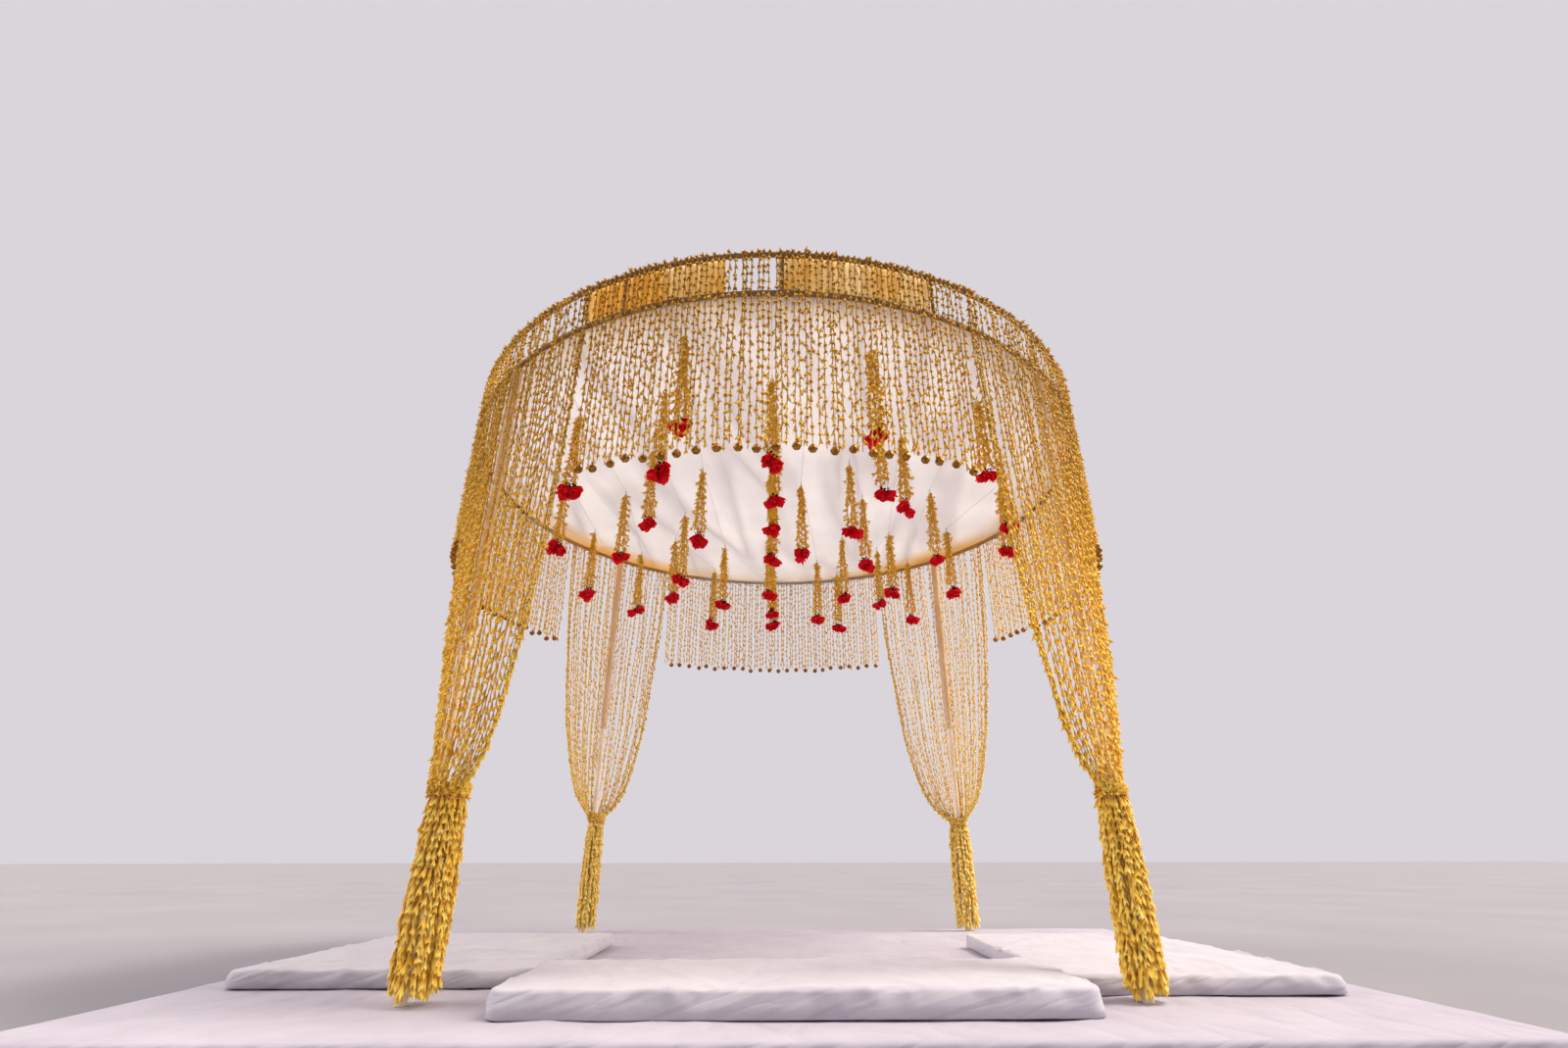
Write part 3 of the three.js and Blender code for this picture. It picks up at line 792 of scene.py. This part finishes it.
def darts(places, headings, draw, size, opened):
    """Flowers at places, pointing along headings. Each is a closed trumpet: a point, a neck of
    PETALS corners past its middle, a star of narrow petals that flare from it with the notches
    between them, and a point inside the mouth. Reach and height of each tip vary a little."""
    count = len(places)
    tip_r = PETAL_REACH * opened * draw.uniform(0.7, 1.3, (count, PETALS))
    tip_h = draw.uniform(0.78, 1.10, (count, PETALS))
    ring = np.ones((count, PETALS))
    one = ring[:, :1]
    radius = np.hstack([one * 0, ring * NECK, tip_r, ring * NOTCH, one * 0])
    depth = np.hstack([one * 0, ring * NECK_DEPTH, tip_h, ring * NOTCH_DEPTH, one * MOUTH_DEPTH]) * FLOWER
    corner = np.arange(PETALS) * 2 * math.pi / PETALS
    notch = corner + math.pi / PETALS
    angle = np.concatenate([[0], notch, corner, notch, [0]])
    angle = angle + draw.uniform(0, 2 * math.pi, (count, 1))
    first, second = sideways(headings, np.eye(3)[np.abs(headings).argmin(1)])
    out = first[:, None] * np.cos(angle)[..., None] + second[:, None] * np.sin(angle)[..., None]
    shape = out * radius[..., None] + headings[:, None] * depth[..., None]
    points = places[:, None] + size[:, None, None] * shape
    petal = np.arange(PETALS)
    stem, tip, dent = 1 + petal, 1 + PETALS + petal, 1 + 2 * PETALS + petal
    cup = stem * 0 + 1 + 3 * PETALS
    stem_next, tip_next = np.roll(stem, -1), np.roll(tip, -1)
    kinds = [(stem * 0, stem_next, stem), (stem, dent, tip), (stem, tip_next, dent),
             (stem, stem_next, tip_next), (tip, dent, cup), (dent, tip_next, cup)]
    faces = np.concatenate([np.stack(kind, 1) for kind in kinds])
    corners = cup[0] + 1
    part = np.repeat([0.0, 0.4, 1.0, 0.7, 0.4], [1, PETALS, PETALS, PETALS, 1])
    values = {"part": np.tile(part, count), "shade": np.repeat(draw.uniform(0, 1, count), corners)}
    return points.reshape(-1, 3), [copied(faces, count, corners)], values


def along_strings(paths, draw, pitch=PITCH, start=0.004, lean=0.11):
    """Places and headings of flowers a pitch apart along each path. The run along the path is
    summed from its steps, and flowers lean to one side and the other in turn."""
    places, headings = [], []
    for path in paths:
        run = np.append(0, np.cumsum(np.linalg.norm(np.diff(path, axis=0), axis=1)))
        step = pitch * draw.uniform(0.95, 1.05)
        at = np.arange(start, run[-1] - 0.6 * step, step)
        at = at + draw.uniform(-0.1, 0.1, len(at)) * step
        here, ahead = (np.stack([np.interp(s, run, path[:, i]) for i in range(3)], 1)
                       for s in (at, at + 0.8 * step))
        turned_to = draw.normal(0, lean, (len(at), 3))
        turned_to[::2] += draw.normal(0, lean, 3)
        turned_to[1::2] -= draw.normal(0, lean, 3)
        way = (ahead - here) / np.linalg.norm(ahead - here, axis=1, keepdims=True) + turned_to
        places.append(here)
        headings.append(way / np.linalg.norm(way, axis=1, keepdims=True))
    return np.concatenate(places), np.concatenate(headings)


def threads(paths, radius=THREAD):
    """The cotton that the flowers are threaded on, as thin three-sided tubes."""
    points, faces = tubes(paths, radius, THREAD_SIDES)
    return points, faces, {"part": np.full(len(points), 0.1), "shade": np.full(len(points), 0.4)}


def strung(paths, draw, sizes, opened, thread=THREAD, **spacing):
    """Blocks of the flowers along paths, in sizes between two, and of the threads they are on."""
    places, headings = along_strings(paths, draw, **spacing)
    size = draw.uniform(*sizes, len(places))
    return [darts(places, headings, draw, size, opened), threads(paths, thread)]


def own(tree, name):
    """The number of that name that each point of a mesh has."""
    return node(tree, "Attribute", out="Fac", attribute_name=name)


def flower_petals(tree):
    part, shade, gold = own(tree, "part"), own(tree, "shade"), own(tree, "gold")
    _, y, z = coordinates(tree)
    # Flowers turn pale cream towards the back: painted light on the back strings, which are seen from
    # their lit side. Low down, at the bunches, they are up to a quarter paler too.
    behind = span(tree, y, -0.9, 1.2)
    below = span(tree, z, 1.1, 0.6, 0.0, 0.25)
    above = span(tree, z, 1.7, 2.8)
    pale = reckon(tree, "MAXIMUM", behind, below)
    pale = reckon(tree, "SUBTRACT", pale, gold, clamp=True)
    amber = mix(tree, shade, "fccd3a", "ffe464")
    cream = mix(tree, shade, "ffd860", "fff09c")
    petal = mix(tree, pale, amber, cream)
    # Paler petal tips: a painted highlight.
    tipped = mix(tree, span(tree, part, 0.8, 1.0, 0.0, 0.5), petal, "ffea84")
    stem = mix(tree, pale, "dca030", "f6c858")
    lit = mix(tree, span(tree, part, 0.25, 0.65), stem, tipped)
    # Tassel flowers made a brighter gold: painted light, as they hang in the ceiling's shade.
    lit = mix(tree, reckon(tree, "MULTIPLY", gold, 0.45), lit, "ffd240")
    # High up, flowers are darkened towards brown as painted shade, less where they are painted pale and
    # not on the tassels.
    spared_from_shade = reckon(tree, "MULTIPLY_ADD", pale, 0.9, reckon(tree, "MULTIPLY", gold, 0.75))
    painted_shade_above = reckon(tree, "SUBTRACT", above, spared_from_shade, clamp=True)
    shade_brown = mix(tree, span(tree, part, 0.25, 0.8), "6e4a1a", "dca42a")
    tone = mix(tree, reckon(tree, "MULTIPLY", painted_shade_above, 0.6), lit, shade_brown)
    return sheer(tree, 0.2, {
        "Base Color": tone, "Roughness": 0.55, "Specular IOR Level": 0.25,
        "Normal": bump(tree, noise(tree, 420.0, 2.0), 0.2, 0.0008),
    })


petals = finish_with("flower_petals", flower_petals)


# Flower curtains: one bay of strings between each two corner drapes. A string starts over
# the top ring, hangs outside both rings, and a third of the strings end in a bell.
CURTAINS = {
    "curtain_right": (-30.0, 30.0), "curtain_back": (62.5, 120.0),
    "curtain_left": (150.0, 210.0), "curtain_front": (242.5, 297.5),
}
STRING_SPACING = 0.0247
STRING_RADIUS = RING_RADIUS + PIPE + 0.004
STRING_STEPS = 11
STRING_SWAY = 0.0022
CURTAIN_SIZES = (1.0, 1.28)
CURTAIN_OPENED = 0.70
CURTAIN_HEM = 1.985
BELL_EVERY = 3
LOOP = [(-0.0085, 0.0150), (0.0, 0.0170), (0.0110, 0.0135), (0.0165, 0.002)]


def over_ring(azimuths, lower, draw):
    """Strings from over the top ring to the heights lower. Below the ring a string sways
    sideways as a slow sine of its drop, and drifts a few millimetres outwards."""
    count = len(azimuths)
    loop = np.array(LOOP)
    reach = RING_RADIUS + loop[:, 0] + draw.normal(0, 0.0012, (count, 1))
    over = polar(reach, azimuths[:, None], TOP_RING + loop[:, 1])
    share = np.linspace(0, 1, STRING_STEPS)[1:]
    drop = (TOP_RING - lower[:, None]) * share
    phase = draw.uniform(0, 2 * math.pi, (count, 1))
    sway = STRING_SWAY * np.sin(2 * math.pi * drop / draw.uniform(0.35, 0.9, (count, 1)) + phase)
    aside = draw.normal(0, 0.004, (count, 1)) * share
    sway = np.degrees(sway / STRING_RADIUS) + np.degrees(aside / STRING_RADIUS)
    out = STRING_RADIUS + draw.uniform(-0.002, 0.005, (count, 1)) * share
    hang = polar(out, azimuths[:, None] + sway, TOP_RING - drop)
    return np.concatenate([over, hang], axis=1)


bell_places = []
for seed, (name, (first, last)) in enumerate(CURTAINS.items()):
    draw = np.random.default_rng(50 + seed)
    count = int(round(math.radians(last - first) * STRING_RADIUS / STRING_SPACING))
    azimuths = np.linspace(first + 0.4, last - 0.4, count) + draw.normal(0, 0.07, count)
    lower = CURTAIN_HEM - draw.uniform(0.0, 0.036, count)
    lower[1::BELL_EVERY] = CURTAIN_HEM + draw.uniform(-0.012, 0.010, len(lower[1::BELL_EVERY]))
    paths = over_ring(azimuths, lower, draw)
    piece(name + "_flowers", strung(paths, draw, CURTAIN_SIZES, CURTAIN_OPENED), petals,
          replaces=[name], smooth=False)
    bell_places.append(paths[1::BELL_EVERY, -1])


# Bells: hollow brass jingle bells with a rolled seam round the middle, four slits below and
# a loop above, each on a short end of thread at the hem.
BELL = 0.0175
BELL_SIDES = 12
BELL_SEAM = 1.06
BELL_SLIT = 0.84
BELL_LOOP = (0.004, 0.006)
BELL_LOOP_WIRE = 0.0009
BELL_DROP = 0.010
BELL_THREAD = 0.0009


def bell_brass(tree):
    patina = noise(tree, 90.0, 5.0)
    tone = mix(tree, span(tree, patina, 0.35, 0.65), "c08838", "664012")
    return node(tree, "BsdfPrincipled", {
        "Base Color": tone, "Metallic": 1.0, "Roughness": 0.24, "Normal": bump(tree, patina, 0.2, 0.0008),
    })


hung_from = np.concatenate(bell_places)
angles = np.radians([-90, -58, -25, -5, 5, 25, 58, 90])
ridge = np.where(np.abs(angles) < math.radians(6), BELL_SEAM, 1.0)
ball = np.column_stack([np.cos(angles) * ridge, np.sin(angles)]) * BELL
ball[[0, -1], 0] = 0
points, faces = turned(ball, BELL_SIDES)
ring = np.arange(len(points) - 2).reshape(-1, BELL_SIDES) + 1
slit = ring[:2, ::3].ravel()
points[slit] *= BELL_SLIT
loop_angles = np.linspace(0, math.pi, 6)
loop = np.column_stack([
    BELL_LOOP[0] * np.cos(loop_angles), 0 * loop_angles, BELL * 0.97 + BELL_LOOP[1] * np.sin(loop_angles)])
points, faces, _ = joined([(points, faces), tubes(loop[None], BELL_LOOP_WIRE, 4)])
centres = hung_from - (0, 0, BELL_DROP + BELL)
bells = (centres[:, None] + points).reshape(-1, 3)
faces = [copied(f, len(centres), len(points)) for f in faces]
piece("jingle_bells", [(bells, faces)], finish_with("bell_brass", bell_brass))
cords = np.stack([hung_from, hung_from - (0, 0, BELL_DROP - 0.004)], 1)
piece("bell_threads", [threads(cords, BELL_THREAD)], petals)


# Corner drapes: flower strings over the top ring outside each post, gathered to it about
# 0.8 m above the ground by a wound garland. Below it the ends hang on as a full bunch.
DRAPE_STRINGS = 36
DRAPE_SCATTER = 0.012
DRAPE_SIDE_STRINGS = [-0.985, -0.96, 0.965, 0.99]
DRAPE_CLUMPS = 0.11
DRAPE_SWAY = 0.22
DRAPE_UPPER = np.linspace(TOP_RING - 0.02, 1.50, 10)
DRAPE_LOWER_FROM = 1.43
DRAPE_LOWER_STEPS = 19
DRAPE_SIZES = (1.0, 1.3)
DRAPE_OPENED = 0.62
DRAPE_EDGE = 0.9
DRAPE_ABOVE_TIE = [-0.03, 0.0, 0.03, 0.07, 0.12, 0.23, 0.38, 0.59, 0.86, 1.28, 1.90]
DRAPE_SHARE = [0.0, 0.03, 0.12, 0.235, 0.335, 0.468, 0.574, 0.700, 0.790, 0.910, 1.0]
DRAPE_WRAP = 110.0
OUTSIDE_POST = 0.036
POST_FREE = 0.060
BUNCH_DOWN = [0, 0.1, 0.3, 0.6, 1.0]
BUNCH_REACH = [0.76, 0.84, 0.93, 1.0, 0.97]
BUNCH_INNER = 0.72
BUNCH_SWAY = 5
BUNCH_SIZES = (1.2, 1.7)
BUNCH_OPENED = 0.50
BUNCH_PITCH = 0.028
BUNCH_LEAN = 0.075
BUNCH_THREAD = 0.003
TIE_TURNS = 3.4
TIE_STARTS = (0, 120, 240)
TIE_PITCH = 0.030
TIE_LEAN = 0.12
TIE_BLOOMS = 16
TIE_THREAD = 0.0042


def round_middle(middle, azimuth, radius, height):
    """Points at a radius round an upright line through middle, at an azimuth in degrees."""
    way = np.radians(azimuth)
    return np.stack(np.broadcast_arrays(
        middle[0] + radius * np.cos(way), middle[1] + radius * np.sin(way), height), -1)


def waver(z, draw, count, slow, fast):
    """A sine of the height from -1 to 1, with its own speed and start for each of count strings."""
    return np.sin(z * draw.uniform(slow, fast, (count, 1)) + draw.uniform(0, 6, (count, 1)))


def past_post(points, azimuth):
    """Moves points out to where they clear the post, in full beside it and not at all from
    POST_FREE to either side, and not where they pass over the rings."""
    radius = np.hypot(points[..., 0], points[..., 1])
    turn = (np.degrees(np.arctan2(points[..., 1], points[..., 0])) - azimuth + 180) % 360 - 180
    beside = np.clip(1 - (np.radians(turn) * RING_RADIUS / POST_FREE) ** 2, 0, 1)
    beside = beside * np.clip((LOWER_RING + 0.01 - points[..., 2]) / 0.05, 0, 1)
    push = np.maximum(RING_RADIUS + OUTSIDE_POST - radius, 0) * beside
    moved = points.copy()
    moved[..., :2] *= (1 + push / radius)[..., None]
    return moved


bounds = list(CURTAINS.values())
for seed, (corner_name, azimuth) in enumerate(CORNERS.items()):
    draw = np.random.default_rng(60 + seed)
    first = bounds[seed][1] + DRAPE_EDGE
    last = bounds[(seed + 1) % 4][0] % 360 - DRAPE_EDGE
    low, high, tie_bottom, tie_top = plan_box("tie_" + corner_name)
    middle, tie_radius, tie_height = (low + high) / 2, (high - low)[0] / 2, (tie_bottom + tie_top) / 2
    across = np.linspace(-1, 1, DRAPE_STRINGS) + draw.normal(0, DRAPE_SCATTER, DRAPE_STRINGS)
    across = np.clip(np.concatenate([across, DRAPE_SIDE_STRINGS]), -1, 1)
    count = len(across)
    z = np.append(DRAPE_UPPER, np.linspace(DRAPE_LOWER_FROM, tie_height, DRAPE_LOWER_STEPS))
    share = np.interp(z - tie_height, DRAPE_ABOVE_TIE, DRAPE_SHARE)[None, :, None]
    loose = DRAPE_SWAY * waver(z, draw, count, 3, 8)
    ring_azimuth = first + (last - first) * (across[:, None] + 1) / 2
    at_ring = polar(STRING_RADIUS + draw.uniform(0, 0.006, (count, 1)), ring_azimuth + loose, z)
    layer = tie_radius - 0.015 - draw.uniform(0, 0.010, (count, 1))
    clumped = across[:, None] + draw.normal(0, DRAPE_CLUMPS, (count, 1)) * (1 - across[:, None] ** 2)
    at_tie = round_middle(middle, azimuth + DRAPE_WRAP * clumped, layer, z)
    hang = past_post(at_tie + share * (at_ring - at_tie), azimuth)
    loop = np.array(LOOP)
    over = polar(RING_RADIUS + loop[:, 0], ring_azimuth, TOP_RING + loop[:, 1])
    paths = np.concatenate([over, hang], axis=1)
    piece("drape_flowers_" + corner_name, strung(paths, draw, DRAPE_SIZES, DRAPE_OPENED), petals,
          replaces=["drape_" + corner_name], smooth=False)

    low, high, stage_top, bunch_top = plan_box("bunch_" + corner_name)
    bunch_radius = (high - low)[0] / 2
    turns = np.linspace(0, 360, count, endpoint=False) + draw.normal(0, 3, count)
    drop = np.linspace(0, 1, 12) * (1 - draw.uniform(0, 0.06, (count, 1)))
    z = bunch_top + 0.012 - drop * (bunch_top - stage_top - 0.020)
    layer = np.where(np.arange(count) % 3 == 0, BUNCH_INNER, 1.0)[:, None] * (bunch_radius - 0.010)
    reach = layer * np.interp(drop, BUNCH_DOWN, BUNCH_REACH)
    swing = turns[:, None] + BUNCH_SWAY * waver(z, draw, count, 5, 12)
    paths = round_middle(middle, azimuth + swing, reach, z)
    bunch = strung(paths, draw, BUNCH_SIZES, BUNCH_OPENED, BUNCH_THREAD, pitch=BUNCH_PITCH,
                   lean=BUNCH_LEAN)
    piece("bunch_flowers_" + corner_name, bunch, petals,
          replaces=["bunch_" + corner_name], smooth=False)

    turns = np.linspace(0, TIE_TURNS * 360, 90)
    wound = np.stack([round_middle(
        middle, turns + offset, tie_radius - 0.010 + 0.003 * np.sin(turns / 50 + offset),
        tie_bottom + 0.010 + 0.040 * turns / turns[-1]) for offset in TIE_STARTS])
    places, headings = along_strings(wound, draw, pitch=TIE_PITCH, lean=TIE_LEAN)
    spokes = draw.uniform(0, 360, TIE_BLOOMS)
    rise = draw.uniform(tie_bottom, tie_top + 0.004, TIE_BLOOMS)
    blooms = round_middle(middle, spokes, tie_radius - 0.022, rise)
    outwards = blooms - (*middle, 0.0)
    outwards[:, 2] = draw.uniform(-0.09, 0.03, TIE_BLOOMS)
    outwards /= np.linalg.norm(outwards, axis=1, keepdims=True)
    wreath = darts(places, headings, draw, draw.uniform(0.85, 1.15, len(places)), 0.55)
    burst = darts(blooms, outwards, draw, draw.uniform(0.7, 1.0, TIE_BLOOMS), 0.8)
    piece("tie_flowers_" + corner_name, [wreath, burst, threads(wound, TIE_THREAD)], petals,
          replaces=["tie_" + corner_name], smooth=False)


# Tassels: six short flower strings on a wire hook, spread a little as they fall, each group
# ending in three or four red roses that hang head down.
TASSEL_LENGTH = 0.41
TASSEL_STRINGS = 6
TASSEL_TOP_REACH = 0.007
TASSEL_SPREAD = 0.023
TASSEL_WAVE = 0.002
TASSEL_SIZES = (0.9, 1.2)
TASSEL_OPENED = 0.95
TASSEL_PITCH = 0.024
TASSEL_LEAN = 0.26
HOOK_DROP = 0.030
HOOK_EYE = 0.005
HOOK_WIRE = 0.0016
HOOK_SIDES = 5
ROSE_FORMS = 6
ROSE_SIZES = (1.12, 1.38)
ROSE_OUT = (0.010, 0.018)
ROSE_LOWER = 0.040
FOUR_ROSES_SHARE = 0.55
PETAL_TURN = 137.5
SEPALS = 5


def rose_petals(tree):
    part, leaf, shade = own(tree, "part"), own(tree, "leaf"), own(tree, "shade")
    red = mix(tree, shade, "ee0e26", "ff2440")
    # Lighter petal edges: a painted highlight.
    edge = mix(tree, span(tree, part, 0.7, 1.0, 0.0, 0.5), red, "ff4a5e")
    # Darker petal bases, deep in the bloom: painted shade.
    painted_shade_base = mix(tree, span(tree, part, 0.0, 0.4), "9c0618", edge)
    return sheer(tree, 0.5, {
        "Base Color": mix(tree, leaf, painted_shade_base, "26340f"), "Roughness": 0.7, "Specular IOR Level": 0.15,
        "Normal": bump(tree, noise(tree, 160.0, 3.0), 0.25, 0.001),
    })


def cupped_leaf(azimuth, half_width, base, reach, height, curl, rows=4, columns=3, skin=0.0006):
    """A petal as a thin closed shell. Across it the angle runs over half_width either side of
    azimuth; up it the radius swells from base to reach and draws in again as a sine of 130
    degrees, the lip curls out by curl times the height cubed, and the sides narrow to the foot."""
    t, s = np.meshgrid(np.linspace(0, 1, rows), np.linspace(-1, 1, columns), indexing="ij")
    narrow = np.sin(math.pi * (0.14 + 0.62 * t)) ** 0.6
    angle = azimuth + s * half_width * narrow
    radius = base + (reach - base) * np.sin(t * math.radians(130)) + curl * t**3
    up = height * (t - 0.16 * s**2 * t) - 0.5 * abs(curl) * t**4
    sides = []
    for inset in (0.0, skin):
        r = radius - inset
        sides.append(np.stack([r * np.cos(angle), r * np.sin(angle), up], -1).reshape(-1, 3))
    table = np.arange(rows * columns).reshape(rows, columns)
    rim = np.concatenate([table[0], table[1:, -1], table[-1, -2::-1], table[-2:0:-1, 0]])
    inner = rows * columns
    walls = np.stack([rim, np.roll(rim, -1), np.roll(rim, -1) + inner, rim + inner], 1)
    faces = [table_quads(table), table_quads(table)[:, ::-1] + inner, walls[:, ::-1]]
    return np.concatenate(sides), faces, np.tile(t.ravel(), 2)


def rose(draw):
    """One bloom about its own axis, opening upwards: whorls of petals at turns of 137.5 degrees
    from a tight heart to a loose outside, over five narrow sepals bent back."""
    blocks = []
    whorls = [(2, 0.002, 0.006, 0.045, 0.0, 1.7), (3, 0.003, 0.012, 0.047, 0.001, 1.25),
              (5, 0.004, 0.0170, 0.045, 0.006, 0.80), (5, 0.006, 0.0215, 0.040, 0.011, 0.72)]
    petal_sizes = [size for count, *size in whorls for _ in range(count)]
    for number, (base, reach, height, curl, half) in enumerate(petal_sizes):
        vary = draw.uniform(0.78, 1.22, 3)
        petal, faces, up = cupped_leaf(math.radians(PETAL_TURN * number), half, base, reach * vary[0],
                                       height * vary[1], curl * vary[2])
        blocks.append((petal, faces, {"part": up, "leaf": up * 0, "shade": up * 0 + draw.uniform()}))
    for number in range(SEPALS):
        sepal, faces, up = cupped_leaf(math.radians(360 / SEPALS * number + 20), 0.32, 0.003, 0.015,
                                       -0.004, 0.004, 3, 2)
        blocks.append((sepal, faces, {"part": up, "leaf": up * 0 + 1, "shade": up * 0}))
    return joined(blocks)


def facing(heading, spin):
    """Rows of the turn that takes +Z to heading, after a spin about +Z."""
    heading = heading / np.linalg.norm(heading)
    first, second = sideways(heading, -np.eye(3)[np.abs(heading).argmin()])
    return np.array([first * math.cos(spin) + second * math.sin(spin),
                     second * math.cos(spin) - first * math.sin(spin), heading])


def hook(x, y, bottom):
    """A wire hook: an eye of nine tenths of a turn round the wire, and its stem down to bottom."""
    bend = np.linspace(0.2 * math.pi, 2.0 * math.pi, 9)
    eye = np.column_stack([0 * bend, HOOK_EYE * np.cos(bend), HOOK_EYE * np.sin(bend)])
    eye += (x, y, WIRE_HEIGHT - 0.001)
    stem = [[x, y + HOOK_EYE, WIRE_HEIGHT - 0.001], [x, y, WIRE_HEIGHT - 0.012], [x, y, bottom]]
    return [tubes(path[None], HOOK_WIRE, HOOK_SIDES) for path in (eye, np.array(stem))]


def spread_strings(x, y, bottom, length, spin, draw):
    """The strings of one tassel, at even turns round its hook. Each goes straight down and out,
    with a small sine added to its reach."""
    share = np.linspace(0, 1, 7)
    paths = []
    for number in range(TASSEL_STRINGS):
        angle = math.radians(spin + 360 * number / TASSEL_STRINGS + draw.uniform(-14, 14))
        spread = TASSEL_SPREAD * share * draw.uniform(0.8, 1.15)
        reach = TASSEL_TOP_REACH + spread + TASSEL_WAVE * np.sin(share * 9 + number)
        paths.append(np.column_stack([
            x + reach * math.cos(angle), y + reach * math.sin(angle), bottom + 0.004 - length * share]))
    return np.array(paths)


draw = np.random.default_rng(71)
blooms = [rose(draw) for _ in range(ROSE_FORMS)]
string_paths, hook_blocks, rose_blocks, stalks = [], [], [], []
bottom = WIRE_HEIGHT - HOOK_DROP
for x, y in [place for hooks in WIRES for place in hooks]:
    hook_blocks += hook(x, y, bottom)
    spin = draw.uniform(0, 360)
    length = TASSEL_LENGTH * draw.uniform(0.94, 1.04)
    paths = spread_strings(x, y, bottom, length, spin, draw)
    string_paths.append(paths)
    ends = paths[:, -1]
    clusters = 4 if draw.uniform() < FOUR_ROSES_SHARE else 3
    for number in range(clusters):
        angle = math.radians(spin + 360 * number / clusters + draw.uniform(-20, 20))
        out = np.array([math.cos(angle), math.sin(angle), 0.0])
        place = np.array([x, y, bottom - length - 0.004]) + out * draw.uniform(*ROSE_OUT)
        place[2] -= draw.uniform(0.0, ROSE_LOWER)
        turn_to = facing(out * draw.uniform(0.2, 0.8) - np.array([0, 0, 1.0]), draw.uniform(0, 6))
        shape, faces, values = blooms[draw.integers(0, len(blooms))]
        rose_blocks.append((place + draw.uniform(*ROSE_SIZES) * shape @ turn_to, faces, values))
        nearest = ends[np.linalg.norm(ends - place, axis=1).argmin()]
        stalks.append(np.stack([nearest + (0, 0, 0.02), place]))

strings = strung(np.concatenate(string_paths), draw, TASSEL_SIZES, TASSEL_OPENED, pitch=TASSEL_PITCH,
                 start=0.0, lean=TASSEL_LEAN)
points, faces, values = joined([*strings, threads(np.array(stalks))])
values["gold"] = np.ones(len(points))
piece("tassel_flowers", [(points, faces, values)], petals,
      replaces=[f"tassel_wire_{row + 1}" for row in range(len(WIRES))], smooth=False)
piece("tassel_hooks", hook_blocks, steel)
piece("tassel_roses", rose_blocks, finish_with("rose_petals", rose_petals), smooth=False)


# Light: an overcast sky, pale beyond the canopy and overhead, brightest low to both sides, the
# right one most, and dark behind the viewpoint, with a soft sun from the right. What is seen
# past the canopy is one plain pale backdrop on every side.
SUN_HEADING = (-0.56, 0.14, -0.82)
SUN_ENERGY = 2.2
SUN_SPREAD = 15
SUN_COLOUR = (1.0, 0.93, 0.80)
SKY_OVERHEAD = (1.5, 1.46, 1.46, 1.0)
SKY_RIGHT = (6.2, 5.8, 5.0, 1.0)
SKY_LEFT = (4.8, 4.55, 4.2, 1.0)
SKY_BEHIND = (0.38, 0.365, 0.41, 1.0)
PALE_BACKDROP = (0.70, 0.665, 0.71, 1.0)


def pale_sky(tree):
    x, y, _ = coordinates(tree, "Generated")
    right = mix(tree, span(tree, x, 0.2, 0.8), SKY_OVERHEAD, SKY_RIGHT)
    sides = mix(tree, span(tree, x, -0.8, -0.2, 1.0, 0.0), right, SKY_LEFT)
    before = mix(tree, span(tree, y, -0.6, -0.05), SKY_BEHIND, sides)
    lit = mix(tree, span(tree, y, 0.12, 0.34), before, PALE_BACKDROP)
    return mix(tree, node(tree, "LightPath", out="Is Camera Ray"), lit, PALE_BACKDROP)


world = bpy.data.worlds.new("pale_sky")
bpy.context.scene.world = world
world.use_nodes = True
tree = world.node_tree
tree.links.new(pale_sky(tree), tree.nodes["Background"].inputs["Color"])
sun = bpy.data.objects.new("sun", bpy.data.lights.new("sun", "SUN"))
sun.data.energy = SUN_ENERGY
sun.data.angle = math.radians(SUN_SPREAD)
sun.data.color = SUN_COLOUR
rows = facing(-np.array(SUN_HEADING), 0.0)
sun.rotation_euler = Matrix(rows.T.tolist()).to_euler()
bpy.context.scene.collection.objects.link(sun)
bpy.context.scene.view_settings.view_transform = "Standard"

low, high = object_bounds()
